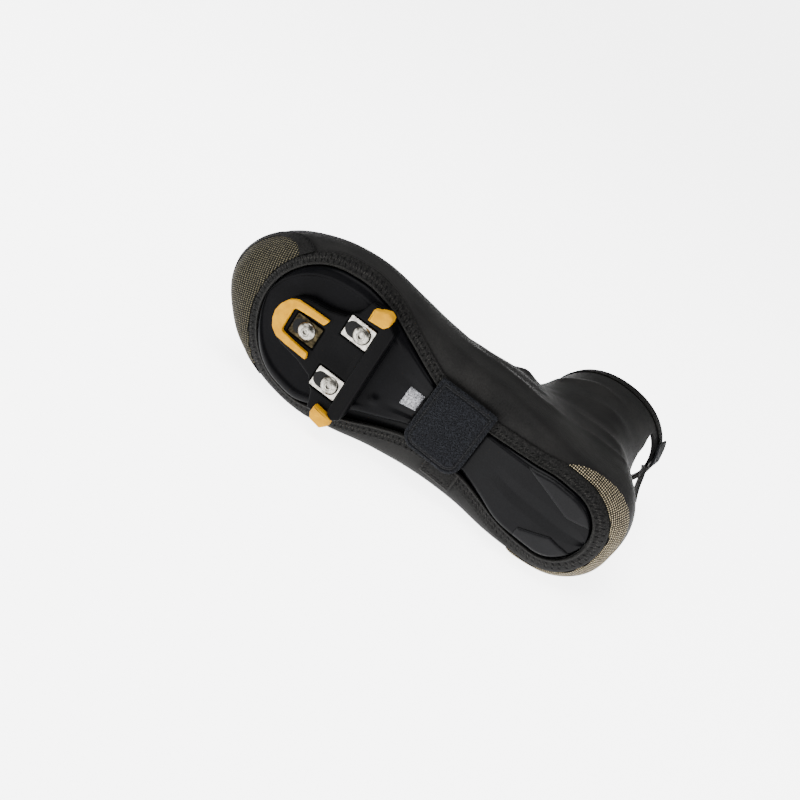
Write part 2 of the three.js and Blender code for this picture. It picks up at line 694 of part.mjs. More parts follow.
const group = new THREE.Group();
group.name = 'cycling_overshoe';
pieces.forEach(([name, , color], k) => {
  const geometry = geometries[k].applyMatrix4(lay);
  geometry.computeVertexNormals();
  const material = new THREE.MeshStandardMaterial({ color, roughness: 0.8 });
  material.name = name;
  const mesh = new THREE.Mesh(geometry, material);
  mesh.name = name;
  group.add(mesh);
});

export default group;
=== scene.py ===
import json
import math

import bpy
import numpy as np
from mathutils import Matrix, Vector


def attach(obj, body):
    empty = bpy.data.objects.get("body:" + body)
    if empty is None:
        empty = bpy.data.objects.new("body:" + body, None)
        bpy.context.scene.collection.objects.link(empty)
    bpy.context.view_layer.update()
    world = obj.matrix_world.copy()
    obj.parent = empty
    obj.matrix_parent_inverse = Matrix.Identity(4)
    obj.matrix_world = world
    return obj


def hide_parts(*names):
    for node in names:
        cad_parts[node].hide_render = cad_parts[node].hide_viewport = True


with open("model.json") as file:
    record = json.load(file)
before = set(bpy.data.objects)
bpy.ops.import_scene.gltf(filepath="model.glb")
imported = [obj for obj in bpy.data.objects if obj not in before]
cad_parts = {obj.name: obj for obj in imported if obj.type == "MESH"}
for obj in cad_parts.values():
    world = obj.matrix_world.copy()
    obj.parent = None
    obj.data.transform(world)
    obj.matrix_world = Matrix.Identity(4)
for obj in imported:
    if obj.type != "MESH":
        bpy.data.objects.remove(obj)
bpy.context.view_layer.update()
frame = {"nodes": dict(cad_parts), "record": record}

record = frame["record"]

# The shoe's own frame in the row: +x to the toe, +y to the shoe's left, +z up from the sole, in millimetres.
# The cleat's two flat faces give it, since the cleat is turned by a known yaw about the shoe's up axis.
cleat = {"x": 192.587, "y": 0.588, "yaw": -0.03, "face": -1.0, "gap": 0.3, "body": 6.4}


def shoeFrame():
    mounts = {m["name"]: m for m in record["mounts"]}
    up = -np.array(mounts["pedal_face"]["axis"], float)
    forward = -np.array(mounts["cleat_rear_edge"]["axis"], float)
    aside = np.cross(up, forward)
    toe = math.cos(cleat["yaw"]) * forward - math.sin(cleat["yaw"]) * aside
    toe -= up * toe.dot(up)
    toe /= np.linalg.norm(toe)
    turn = np.stack([toe, np.cross(up, toe), up], 1)
    c, s = math.cos(cleat["yaw"]), math.sin(cleat["yaw"])
    spot = np.array([cleat["x"] - 6 * c, cleat["y"] - 6 * s, cleat["face"] - cleat["gap"] - cleat["body"]])
    return turn, np.array(mounts["pedal_face"]["pos_m"], float) - turn @ spot / 1000


shoeTurn, shoeAt = shoeFrame()


def toRow(points):
    return np.asarray(points, float) @ shoeTurn.T / 1000 + shoeAt


# The overshoe's form
# Sections from toe to collar between a top or front line and a low or back line, as in the solid:
# topX, topZ, lowX, lowZ, half width, shift, widest share, crown and floor squareness, as shares of the sizes.
shoe = {"length": 267, "ballHalf": 49, "height": 177, "wall": 3.0, "archRise": 8, "plateHeight": 12}
formTable = np.array([
    [1.000, 0.115, 1.000, 0.115, 0.000, 0.000, 0.50, 2.0, 2.0],
    [0.988, 0.191, 0.981, 0.054, 0.320, -0.006, 0.52, 2.1, 2.4],
    [0.957, 0.241, 0.944, 0.034, 0.572, -0.008, 0.58, 2.2, 3.0],
    [0.901, 0.279, 0.893, 0.020, 0.775, -0.006, 0.64, 2.2, 4.0],
    [0.822, 0.311, 0.816, 0.014, 0.940, 0.000, 0.68, 2.1, 4.6],
    [0.732, 0.350, 0.728, 0.009, 1.000, 0.004, 0.72, 2.0, 5.0],
    [0.644, 0.393, 0.635, 0.006, 0.935, 0.000, 0.75, 2.0, 5.0],
    [0.566, 0.457, 0.540, 0.027, 0.826, 0.002, 0.78, 2.0, 5.0],
    [0.499, 0.529, 0.429, 0.044, 0.763, 0.008, 0.79, 2.0, 4.6],
    [0.458, 0.592, 0.321, 0.040, 0.745, 0.014, 0.79, 2.0, 4.4],
    [0.429, 0.629, 0.216, 0.009, 0.733, 0.010, 0.79, 2.0, 4.4],
    [0.412, 0.654, 0.113, 0.000, 0.700, 0.008, 0.79, 2.0, 4.0],
    [0.399, 0.676, 0.043, 0.026, 0.673, 0.006, 0.78, 2.0, 3.0],
    [0.387, 0.703, 0.000, 0.133, 0.647, 0.000, 0.76, 2.0, 2.4],
    [0.377, 0.731, 0.004, 0.274, 0.606, -0.006, 0.70, 2.0, 2.0],
    [0.364, 0.769, 0.031, 0.450, 0.580, -0.008, 0.62, 2.0, 1.8],
    [0.352, 0.819, 0.046, 0.590, 0.596, -0.010, 0.56, 2.0, 1.9],
    [0.341, 0.877, 0.045, 0.741, 0.618, -0.014, 0.52, 2.1, 2.1],
    [0.331, 0.945, 0.034, 0.877, 0.649, -0.020, 0.50, 2.2, 2.1],
    [0.321, 1.004, 0.024, 0.993, 0.667, -0.027, 0.50, 2.2, 2.1]])
formTable = formTable * np.array([shoe["length"], shoe["height"], shoe["length"], shoe["height"],
                                  shoe["ballHalf"], shoe["ballHalf"], 1, 1, 1])
lastRow = len(formTable) - 1


# A smooth curve through the rows of a table, read at fractional row numbers
def readTable(table, s, mirrored=None):
    s = np.asarray(s, float)
    i = np.clip(np.floor(s).astype(int), 0, len(table) - 2)
    f = (s - i)[..., None]
    before = 2 * table[0] - table[1] if mirrored is None else mirrored
    padded = np.vstack([before, table, 2 * table[-1] - table[-2]])
    a, b, c, d = padded[i], padded[i + 1], padded[i + 2], padded[i + 3]
    return b + 0.5 * f * (c - a + f * (2 * a - 5 * b + 4 * c - d + f * (3 * (b - c) + d - a)))


mirroredNose = formTable[1][[2, 3, 0, 1, 4, 5, 6, 7, 8]] * np.array([1, 1, 1, 1, -1, 1, 1, 1, 1])


def formRow(s):
    return readTable(formTable, s, mirroredNose)


# A point of the form: section s, and phi from its top down the left side and up the right.
# Height and width follow a superellipse whose upper and lower halves have their own squareness.
def formBase(s, phi):
    row = formRow(s)
    topX, topZ, lowX, lowZ, half, shift, widest, crown, floor = np.moveaxis(row, -1, 0)
    up, side = np.cos(phi), np.sin(phi)
    power = np.where(up > 0, 2 / crown, 2 / floor)
    rise = np.sign(up) * np.abs(up) ** power
    depth = np.where(up > 0, widest * (1 - rise), widest - (1 - widest) * rise)
    y = shift + half * np.sign(side) * np.abs(side) ** power
    return np.stack([topX + (lowX - topX) * depth, y, topZ + (lowZ - topZ) * depth], -1)


def formNormal(s, phi, ds=0.06, dp=0.03):
    along = formBase(s + ds, phi) - formBase(s - ds, phi)
    across = formBase(s, phi + dp) - formBase(s, phi - dp)
    normal = np.cross(across, along)
    return normal / np.maximum(np.linalg.norm(normal, axis=-1, keepdims=True), 1e-9)


# Creases of the slack neoprene, each a soft ridge or trough along a path of points: height and width in mm
creases = [
    {"path": [(118, 20, 98), (98, 30, 92), (70, 34, 88), (45, 32, 84), (26, 24, 78)],
     "height": 1.6, "width": 5.0},
    {"path": [(112, 20, 108), (90, 30, 104), (62, 33, 102), (36, 29, 96)], "height": -1.8, "width": 6.0},
    {"path": [(104, 14, 122), (84, 29, 122), (56, 32, 122), (30, 26, 118)], "height": 1.4, "width": 5.5},
    {"path": [(118, -16, 100), (95, -30, 96), (64, -33, 94), (30, -27, 88)], "height": 1.2, "width": 6.0},
    {"path": [(112, -12, 112), (88, -29, 110), (56, -32, 110)], "height": -1.5, "width": 6.0},
    {"path": [(96, 12, 144), (76, 30, 146), (48, 32, 140)], "height": 1.0, "width": 7.0},
    {"path": [(150, 26, 64), (134, 36, 52), (120, 38, 40)], "height": -0.6, "width": 7.0},
    {"path": [(200, 8, 62), (196, 34, 48), (190, 46, 34)], "height": -0.5, "width": 8.0},
    {"path": [(137, 39, 32), (128, 38, 35), (117, 36.5, 42), (100, 37, 42), (84, 36.5, 40), (72, 35, 46),
              (60, 32, 56)], "height": 1.1, "width": 3.6},
    {"path": [(128, 37, 46), (112, 35, 54), (92, 35.5, 56), (78, 34.5, 60)], "height": -0.9, "width": 4.5},
    {"path": [(90, 11, 148), (84, 18, 143), (74, 24, 144), (64, 28, 147), (55, 29.5, 145), (46, 30, 148)],
     "height": 1.2, "width": 3.6},
    {"path": [(62, 32, 54), (50, 31, 60), (42, 31, 61), (34, 31, 62), (27, 30, 64), (21, 29, 60)],
     "height": 0.9, "width": 2.6},
    {"path": [(102, 27, 74), (97, 27.5, 80), (86, 31, 70)], "height": -1.3, "width": 3.2},
    {"path": [(110, 16, 92), (100, 24, 96), (90, 28, 104), (80, 29.5, 114)], "height": 3.2, "width": 6.5},
]


# Each crease is a bell over the distance to its path, faded out at the path's two ends
def creaseHeight(points):
    total = np.zeros(points.shape[:-1])
    for crease in creases:
        path = np.array(crease["path"], float)
        best = np.full(points.shape[:-1], 1e9)
        place = np.zeros(points.shape[:-1])
        for k in range(len(path) - 1):
            a, b = path[k], path[k + 1]
            t = np.clip(((points - a) @ (b - a)) / np.dot(b - a, b - a), 0, 1)
            gap = np.linalg.norm(points - (a + t[..., None] * (b - a)), axis=-1)
            nearer = gap < best
            best = np.where(nearer, gap, best)
            place = np.where(nearer, (k + t) / (len(path) - 1), place)
        fade = np.clip(np.minimum(place, 1 - place) / 0.25 + 0.15, 0, 1)
        total += crease["height"] * fade * np.exp(-(best / crease["width"]) ** 2)
    return total


# The form set out by a lift along its outward normal, with the creases on it
def formPoint(s, phi, lift=0.0):
    base = formBase(s, phi)
    return base + formNormal(s, phi) * (creaseHeight(base) + lift)[..., None]


# Section and angle under a point in plan: the section is found by halving until its x is the one asked for
def underPlace(x, y):
    low, high = np.full(np.shape(x), 0.2), np.full(np.shape(x), 13.0)
    for _ in range(30):
        s = (low + high) / 2
        row = formRow(s)
        share = np.clip((y - row[..., 5]) / np.maximum(row[..., 4], 1e-6), -0.995, 0.995)
        phi = np.pi - np.arcsin(np.sign(share) * np.abs(share) ** (row[..., 8] / 2))
        tooFar = formBase(s, phi)[..., 0] > x
        low, high = np.where(tooFar, s, low), np.where(tooFar, high, s)
    return s, phi


def underPoint(x, y, lift):
    s, phi = underPlace(x, y)
    base = formBase(s, phi)
    return base + formNormal(s, phi) * np.asarray(lift)[..., None]


# The same for the back of the shaft, found by its height
def backPlace(y, z):
    low, high = np.full(np.shape(z), 13.2), np.full(np.shape(z), 19.0)
    for _ in range(30):
        s = (low + high) / 2
        row = formRow(s)
        share = np.clip((y - row[..., 5]) / row[..., 4], -0.99, 0.99)
        phi = np.pi - np.arcsin(np.sign(share) * np.abs(share) ** (row[..., 8] / 2))
        tooLow = formBase(s, phi)[..., 2] < z
        low, high = np.where(tooLow, s, low), np.where(tooLow, high, s)
    return s, phi


def backPoint(y, z, lift):
    s, phi = backPlace(y, z)
    return formPoint(s, phi, np.asarray(lift, float) + np.zeros(np.shape(z)))


# The underside's tables
# x, opening's left and right half widths, the sole's setback on the right, tread and plate heights
underTable = np.array([
    [0.058, 0.450, 0.450, 0.000, 0.375, 1.125],
    [0.112, 0.445, 0.445, 0.000, -0.175, 1.000],
    [0.187, 0.450, 0.450, 0.000, -0.200, 1.000],
    [0.236, 0.400, 0.430, 0.000, -0.150, 1.000],
    [0.295, 0.343, 0.372, 0.010, 0.450, 1.125],
    [0.345, 0.305, 0.335, 0.020, 0.912, 1.375],
    [0.420, 0.290, 0.315, 0.060, 1.000, 1.458],
    [0.487, 0.350, 0.365, 0.105, 0.750, 1.333],
    [0.543, 0.480, 0.480, 0.115, 0.275, 1.125],
    [0.600, 0.630, 0.620, 0.130, -0.100, 1.000],
    [0.652, 0.755, 0.735, 0.060, -0.125, 1.000],
    [0.719, 0.815, 0.845, 0.000, -0.125, 1.000],
    [0.779, 0.785, 0.830, 0.000, -0.125, 1.000],
    [0.839, 0.765, 0.805, 0.000, -0.100, 1.042],
    [0.897, 0.735, 0.775, 0.000, 0.225, 1.208]])
underTable = underTable * np.array([shoe["length"], shoe["ballHalf"], shoe["ballHalf"], shoe["ballHalf"],
                                    shoe["archRise"], shoe["plateHeight"]])
opening = {"heelEnd": 15.5, "toeEnd": 239.5, "heelRound": 22, "toeRound": 36}


def underRow(x):
    k = np.clip(np.searchsorted(underTable[:, 0], x, side="right") - 1, 0, len(underTable) - 2)
    here, there = underTable[k, 0], underTable[k + 1, 0]
    return readTable(underTable, k + np.clip((x - here) / (there - here), 0, 1))


# Half widths of the opening grown sideways and at its two ends, which round off like quarter circles
def openingHalf(x, grow=0.0, heelGrow=0.0, toeGrow=0.0):
    row = underRow(x)
    heel = 1 - np.clip((x - opening["heelEnd"] + heelGrow) / (opening["heelRound"] + heelGrow), 0, 1)
    toe = 1 - np.clip((opening["toeEnd"] + toeGrow - x) / (opening["toeRound"] + toeGrow), 0, 1)
    rounded = np.sqrt(np.maximum(1 - heel ** 2, 0)) * np.sqrt(np.maximum(1 - toe ** 2, 0))
    return (row[..., 1] + grow) * rounded, (row[..., 2] + grow) * rounded, row


# The opening's outline at turn 0..1: from the heel up the left side to the toe and back on the right
def openingOutline(turn, grow=0.0, heelGrow=0.0, toeGrow=0.0):
    angle = 2 * np.pi * turn
    start = opening["heelEnd"] - heelGrow
    length = opening["toeEnd"] + toeGrow - start
    x = start + length * (1 - np.cos(angle)) / 2
    left, right, _ = openingHalf(x, grow, heelGrow, toeGrow)
    return np.stack([x, np.where(angle < np.pi, left, -right)], -1)


# Positive inside the opening seen in plan
def openingInside(x, y, grow=0.0, heelGrow=0.0, toeGrow=0.0):
    start, end = opening["heelEnd"] - heelGrow, opening["toeEnd"] + toeGrow
    left, right, _ = openingHalf(np.clip(x, start, end), grow, heelGrow, toeGrow)
    across = np.where(y > 0, left - y, right + y)
    return np.minimum(across, np.minimum(x - start, end - x))


# Meshes
def makeMesh(name, points, faces, uv=None):
    points = toRow(np.asarray(points).reshape(-1, 3))
    faces = [tuple(f) for f in (faces.tolist() if isinstance(faces, np.ndarray) else faces)]
    mesh = bpy.data.meshes.new(name)
    mesh.from_pydata(points.tolist(), [], faces)
    if uv is not None:
        layer = mesh.uv_layers.new(name="sheet")
        corner = np.zeros(len(mesh.loops), np.int32)
        mesh.loops.foreach_get("vertex_index", corner)
        layer.data.foreach_set("uv", np.asarray(uv, np.float32).reshape(-1, 2)[corner].ravel())
    mesh.polygons.foreach_set("use_smooth", np.full(len(mesh.polygons), True))
    mesh.validate()
    mesh.update()
    obj = bpy.data.objects.new(name, mesh)
    bpy.context.scene.collection.objects.link(obj)
    return obj


# Merges doubles within a distance in metres
def weld(obj, distance, recalculate=False):
    bpy.ops.object.select_all(action="DESELECT")
    bpy.context.view_layer.objects.active = obj
    obj.select_set(True)
    bpy.ops.object.mode_set(mode="EDIT")
    bpy.ops.mesh.select_all(action="SELECT")
    bpy.ops.mesh.remove_doubles(threshold=distance)
    if recalculate:
        bpy.ops.mesh.normals_make_consistent(inside=False)
    bpy.ops.object.mode_set(mode="OBJECT")
    return obj


def gridFaces(rows, columns, wrapColumns=False, wrapRows=False):
    i = np.arange(rows if wrapRows else rows - 1)[:, None]
    j = np.arange(columns if wrapColumns else columns - 1)[None, :]
    i2, j2 = (i + 1) % rows, (j + 1) % columns
    corners = [i * columns + j, i * columns + j2, i2 * columns + j2, i2 * columns + j]
    return np.stack(corners, -1).reshape(-1, 4)


# Turns all faces over when they point away from the given outward directions
def facing(points, faces, outward):
    p = points.reshape(-1, 3)
    n = np.cross(p[faces[:, 2]] - p[faces[:, 0]], p[faces[:, 3]] - p[faces[:, 1]])
    o = outward.reshape(-1, 3)[faces[:, 0]]
    return faces[:, ::-1] if np.sum(n * o) < 0 else faces


# A grid over two parameters, kept where inside(a, b) is negative. The outermost kept points slide along the
# grid onto the edge where it is zero, so the patch ends in a clean line.
def trimmedPatch(name, a, b, inside, place, outward, uvOf=None, wrap=False):
    rows, columns = len(a), len(b)
    gridA, gridB = np.meshgrid(a, b, indexing="ij")
    f = inside(gridA, gridB)
    faces = gridFaces(rows, columns, wrapColumns=wrap)
    keep = faces[(f.ravel()[faces] < 0).any(1)]
    used = np.zeros(rows * columns, bool)
    used[keep.ravel()] = True
    slide = np.nonzero(used & (f.ravel() >= 0))[0]
    if len(slide):
        i, j = slide // columns, slide % columns
        bestF = np.full(len(slide), 1e9)
        bestA, bestB = gridA.ravel()[slide].copy(), gridB.ravel()[slide].copy()
        period = 2 * np.pi if wrap else 0.0
        for di in (-1, 0, 1):
            for dj in (-1, 0, 1):
                ii, jj = np.clip(i + di, 0, rows - 1), j + dj
                turn = np.where(jj < 0, -1, np.where(jj >= columns, 1, 0)) if wrap else 0
                jj = jj % columns if wrap else np.clip(jj, 0, columns - 1)
                g = f[ii, jj]
                better = (g < 0) & (g < bestF)
                bestF = np.where(better, g, bestF)
                bestA = np.where(better, gridA[ii, jj], bestA)
                bestB = np.where(better, gridB[ii, jj] + turn * period, bestB)
        outA, outB = gridA.ravel()[slide].copy(), gridB.ravel()[slide].copy()
        for _ in range(18):
            midA, midB = (bestA + outA) / 2, (bestB + outB) / 2
            within = inside(midA, midB) < 0
            bestA, bestB = np.where(within, midA, bestA), np.where(within, midB, bestB)
            outA, outB = np.where(within, outA, midA), np.where(within, outB, midB)
        flatA, flatB = gridA.ravel().copy(), gridB.ravel().copy()
        flatA[slide], flatB[slide] = bestA, bestB
        gridA, gridB = flatA.reshape(rows, columns), flatB.reshape(rows, columns)
    number = np.full(rows * columns, -1)
    number[np.nonzero(used)[0]] = np.arange(used.sum())
    gridA, gridB = gridA.ravel()[used], gridB.ravel()[used]
    points = place(gridA, gridB)
    faces = facing(points, number[keep], outward(gridA, gridB))
    uv = uvOf(gridA, gridB, points) if uvOf else None
    return weld(makeMesh(name, points, faces, uv), 2e-6)


# A closed ring of profile points carried along a path: points has the shape (steps, profile, 3)
def tube(name, points, closed, uv=None):
    steps, size = points.shape[:2]
    faces = gridFaces(steps, size, wrapColumns=True, wrapRows=closed)
    faces = faces.tolist()
    if not closed:
        faces += [list(range(size))[::-1], [(steps - 1) * size + k for k in range(size)]]
    obj = makeMesh(name, points, faces, uv)
    return weld(obj, 1e-7, recalculate=True)


# Sheet coordinates of a ring of profile points carried along a path: run along the path, across the profile
def sheetOf(run, across):
    return np.stack([np.repeat(run[:, None], len(across), 1), np.repeat(across[None, :], len(run), 0)], -1)


def thicken(obj, thickness):
    solid = obj.modifiers.new("wall", "SOLIDIFY")
    solid.thickness = thickness / 1000
    solid.offset = -1.0
    solid.use_even_offset = False
    return obj


# Gives a finished piece its material, lets it ride and hides the nodes that it stands for
def settle(obj, material, slot, *nodes):
    obj.data.materials.clear()
    obj.data.materials.append(material)
    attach(obj, "root")
    if nodes:
        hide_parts(*nodes)
    return obj


# Finishes
# A socket that takes part in Python arithmetic; each operation adds a Math node
class Value:
    def __init__(self, finish, socket):
        self.finish, self.socket = finish, socket

    def math(self, operation, *others):
        sockets = {0: self, **dict(enumerate(others, 1))}
        return self.finish.node("ShaderNodeMath", {"operation": operation}, sockets)

    def __add__(self, other): return self.math("ADD", other)
    def __mul__(self, other): return self.math("MULTIPLY", other)
    def __sub__(self, other): return self.math("SUBTRACT", other)
    def __truediv__(self, other): return self.math("DIVIDE", other)
    def __rsub__(self, other): return self * -1.0 + other
    __radd__, __rmul__ = __add__, __mul__

    def fract(self): return self.math("FRACT")
    def abs(self): return self.math("ABSOLUTE")
    def sin(self): return self.math("SINE")
    def min(self, other): return self.math("MINIMUM", other)

    def smooth(self, low, high):
        return self.finish.node("ShaderNodeMapRange", {"interpolation_type": "SMOOTHSTEP"},
                                {"Value": self, "From Min": low, "From Max": high})


# A node material with one principled shader
class Finish:
    def __init__(self, name, **uniform):
        self.material = bpy.data.materials.new(name)
        self.material.use_nodes = True
        self.tree = self.material.node_tree
        self.shader = self.tree.nodes["Principled BSDF"]
        for socket, value in uniform.items():
            self.set(socket, value)

    def node(self, kind, settings=None, sockets=None, out=0):
        made = self.tree.nodes.new(kind)
        for key, value in (settings or {}).items():
            setattr(made, key, value)
        for key, value in (sockets or {}).items():
            self.plug(made.inputs[key], value)
        return Value(self, made.outputs[out])

    def plug(self, socket, value):
        if isinstance(value, Value):
            self.tree.links.new(value.socket, socket)
        elif isinstance(value, (tuple, list)) and socket.type == "RGBA" and len(value) == 3:
            socket.default_value = (*value, 1.0)
        else:
            socket.default_value = value

    def set(self, socket, value):
        self.plug(self.shader.inputs[socket.replace("_", " ")], value)

    def millimetres(self):
        place = self.node("ShaderNodeTexCoord", out="Object")
        return self.node("ShaderNodeVectorMath", {"operation": "SCALE"}, {0: place, "Scale": 1000.0})

    def sheet(self):
        uv = self.node("ShaderNodeUVMap", {"uv_map": "sheet"})
        across = self.node("ShaderNodeSeparateXYZ", {}, {0: uv})
        return across, self.node("ShaderNodeSeparateXYZ", {}, {0: uv}, out=1)

    def noise(self, vector, size, detail=2.0, roughness=0.5):
        sockets = {"Vector": vector, "Scale": 1 / size, "Detail": detail, "Roughness": roughness}
        return self.node("ShaderNodeTexNoise", {}, sockets)

    def cells(self, vector, size):
        return self.node("ShaderNodeTexVoronoi", {"feature": "F1"}, {"Vector": vector, "Scale": 1 / size})

    def stretched(self, vector, scale, turn):
        return self.node("ShaderNodeMapping", {}, {"Vector": vector, "Scale": scale, "Rotation": turn})

    def mix(self, factor, a, b):
        return self.node("ShaderNodeMix", {"data_type": "RGBA"}, {0: factor, 6: a, 7: b}, out=2)

    def bump(self, height, distance, strength=1.0):
        sockets = {"Height": height, "Distance": distance / 1000, "Strength": strength}
        self.set("Normal", self.node("ShaderNodeBump", {}, sockets))


# Knit-faced neoprene: a fine ribbed knit, faint mottling, lint and a soft sheen
def neopreneFinish():
    f = Finish("neoprene", Sheen_Weight=0.02, Sheen_Roughness=0.5, Specular_IOR_Level=0.07)
    mm = f.millimetres()
    mottle = f.noise(mm, 22.0, 4.0, 0.6)
    grain = f.cells(f.stretched(mm, (0.5, 1.0, 1.0), (0.0, 0.0, 0.6)), 0.8)
    lint = f.noise(mm, 1.3, 2.0, 0.7).smooth(0.66, 0.8)
    colour = f.mix(mottle.smooth(0.3, 0.75), (0.0042, 0.0041, 0.0040), (0.0082, 0.0079, 0.0075))
    f.set("Base_Color", f.mix(lint * 0.2, colour, (0.022, 0.0215, 0.020)))
    f.set("Roughness", mottle * 0.15 + 0.6)
    f.bump(grain * -0.5 + f.noise(mm, 9.0, 3.0) * 2.0, 0.16, 0.8)
    return f.material


# Stitched binding: fine ribs across it and a zigzag seam down its middle, with a hole at each turn painted near
# black as shade in it, and a painted highlight along the rolled edge
def bandFinish(name, centre, width, pitch=3.6, tone=1.0):
    f = Finish(name, Sheen_Weight=0.01, Sheen_Roughness=0.5, Specular_IOR_Level=0.06)
    u, v = f.sheet()
    mm = f.millimetres()
    saw = ((u / pitch).fract() - 0.5).abs() * 2.0
    offLine = (v - (saw * width + (centre - width / 2))).abs()
    thread = 1.0 - offLine.smooth(0.3, 0.6)
    nearHole = (1.0 - saw.smooth(0.1, 0.4)) * (1.0 - (v - (centre - width / 2)).abs().smooth(0.55, 1.15))
    farHole = saw.smooth(0.6, 0.9) * (1.0 - (v - (centre + width / 2)).abs().smooth(0.55, 1.15))
    holes = (nearHole + farHole).min(1.0)
    rib = (u * (2 * math.pi / 0.8)).sin() * 0.5 + 0.5
    fuzz = f.noise(mm, 0.9, 3.0, 0.65)
    # Mask of the rolled edge along the opening, where the colour is made lighter: a painted highlight
    rolled = 1.0 - v.smooth(0.6, 1.6)
    worn = f.noise(mm, 7.0, 3.0).smooth(0.4, 0.7)
    shade = lambda *rgb: tuple(tone * c for c in rgb)
    colour = f.mix(fuzz.smooth(0.35, 0.7), shade(0.0012, 0.0012, 0.0011), shade(0.0095, 0.0092, 0.0087))
    # Painted highlight: the rolled edge mixed towards a lighter tone
    colour = f.mix(rolled * 0.5, colour, shade(0.017, 0.0165, 0.0155))
    colour = f.mix(thread * (worn * 0.6 + 0.35), colour, shade(0.024, 0.0228, 0.0208))
    # The stitch holes are real dents in the bump, and their near-black colour here is painted shade in them
    f.set("Base_Color", f.mix(holes, colour, (0.0002, 0.0002, 0.0002)))
    f.set("Roughness", fuzz * 0.2 + 0.6)
    f.bump(thread * 1.5 + rib * 0.25 + fuzz * 0.9 - holes * 2.6, 0.45, 1.0)
    return f.material


# Coarse weave: tan yarns in both directions, each crossing a raised light spot with dark gaps round it
def wovenFinish(name, dark, light, cell, rise, slant):
    f = Finish(name, Sheen_Weight=0.03, Specular_IOR_Level=0.1)
    u, v = f.sheet()
    mm = f.millimetres()
    sway = f.noise(mm, 14.0, 2.0) * 1.6
    across = ((u + v * slant + sway) * (math.pi / cell)).sin().abs()
    along = ((v - u * slant + sway) * (math.pi / rise)).sin().abs()
    yarn = across.smooth(0.42, 0.95) * along.smooth(0.42, 0.95)
    fleck = f.noise(mm, 1.4, 3.0, 0.7)
    tone = (yarn * (fleck.smooth(0.3, 0.7) * 0.9 + 0.5)).min(1.0)
    f.set("Base_Color", f.mix(tone, dark, light))
    f.set("Roughness", 0.92 - tone * 0.2)
    f.bump(yarn, 0.5, 1.0)
    return f.material


# Brushed loop fabric: blue-black fuzz with a stitched, raised border that follows the piece's edge, and painted
# shade darkening the groove of its seam
def loopFinish():
    f = Finish("loopFabric", Sheen_Weight=0.03, Sheen_Roughness=0.4, Specular_IOR_Level=0.06)
    mm = f.millimetres()
    u, edge = f.sheet()
    tuft = f.cells(mm, 0.85)
    fine = f.noise(mm, 0.5, 4.0, 0.8)
    seam = 1.0 - (edge - 3.0).abs().smooth(0.2, 0.55)
    stitch = seam * (u / 2.6).fract().smooth(0.18, 0.3)
    valley = 1.0 - (edge - 3.0).abs().smooth(0.3, 1.5)
    border = 1.0 - edge.smooth(1.6, 2.6)
    pile = (fine * 0.8 + tuft * 0.6).smooth(0.42, 0.95)
    colour = f.mix(pile, (0.0008, 0.00085, 0.0011), (0.0080, 0.0086, 0.0106))
    # The seam's groove is a real dent in the bump, and its darker colour here is painted shade in it
    colour = f.mix(valley * 0.6, colour, (0.0016, 0.0016, 0.0018))
    f.set("Base_Color", f.mix(stitch * 0.6, colour, (0.0075, 0.0075, 0.0088)))
    f.set("Roughness", 0.95 - stitch * 0.35)
    f.bump(fine * 0.9 + tuft * 0.8 - valley * 1.8 + stitch * 1.0 + border * 0.5, 0.6, 1.0)
    return f.material


# Moulded sole: black, gloss with a faint texture, rubbed and dusty in places
def soleFinish(name, tone, rough, coat, specular):
    f = Finish(name, Coat_Roughness=0.18, Coat_IOR=1.3, Specular_IOR_Level=specular)
    mm = f.millimetres()
    behind = f.node("ShaderNodeSeparateXYZ", {}, {0: mm}).smooth(-30.0, 10.0)
    f.set("Coat_Weight", behind * coat)
    rubbed = f.noise(mm, 26.0, 4.0, 0.6)
    scratch = f.noise(f.stretched(mm, (0.25, 1.0, 1.6), (0.0, 0.5, 0.0)), 1.1, 3.0, 0.6).smooth(0.6, 0.75)
    dust = f.noise(mm, 5.0, 5.0, 0.7).smooth(0.52, 0.8)
    colour = f.mix(rubbed.smooth(0.35, 0.7), tuple(0.7 * c for c in tone), tone)
    f.set("Base_Color", f.mix(dust * 0.3 + scratch * 0.2, colour, tuple(2.2 * c for c in tone)))
    f.set("Roughness", rubbed * 0.16 + scratch * 0.1 + dust * 0.12 + rough)
    f.bump(f.noise(mm, 0.8, 2.0) * 0.6 - scratch * 0.5, 0.05, 0.6)
    return f.material


# Amber cleat pad: satin plastic, a little darker where it is rubbed
def padFinish():
    f = Finish("cleatPad", Specular_IOR_Level=0.04)
    mm = f.millimetres()
    wear = f.noise(mm, 4.0, 4.0, 0.65)
    grime = f.noise(mm, 1.2, 3.0, 0.6).smooth(0.62, 0.8)
    colour = f.mix(wear.smooth(0.35, 0.7), (0.34, 0.155, 0.0), (0.43, 0.205, 0.0))
    f.set("Base_Color", f.mix(grime * 0.3, colour, (0.12, 0.045, 0.0)))
    f.set("Roughness", wear * 0.2 + 0.45)
    f.bump(f.noise(mm, 0.9, 2.0), 0.05, 0.6)
    return f.material


# Brushed steel with fine lines one way and small dents
def steelFinish(name, low, high, rough, relief=1.0):
    f = Finish(name, Metallic=1.0)
    mm = f.millimetres()
    lines = f.noise(f.stretched(mm, (0.3, 1.0, 3.5), (0.0, 0.35, 0.0)), 0.5, 3.0, 0.6)
    spots = f.noise(mm, 2.2, 3.0, 0.6)
    f.set("Base_Color", f.mix(spots.smooth(0.3, 0.75), low, high))
    f.set("Roughness", lines * 0.25 + spots * 0.12 + rough)
    f.bump(lines * 0.5 + spots, 0.05 * relief, 0.6)
    return f.material


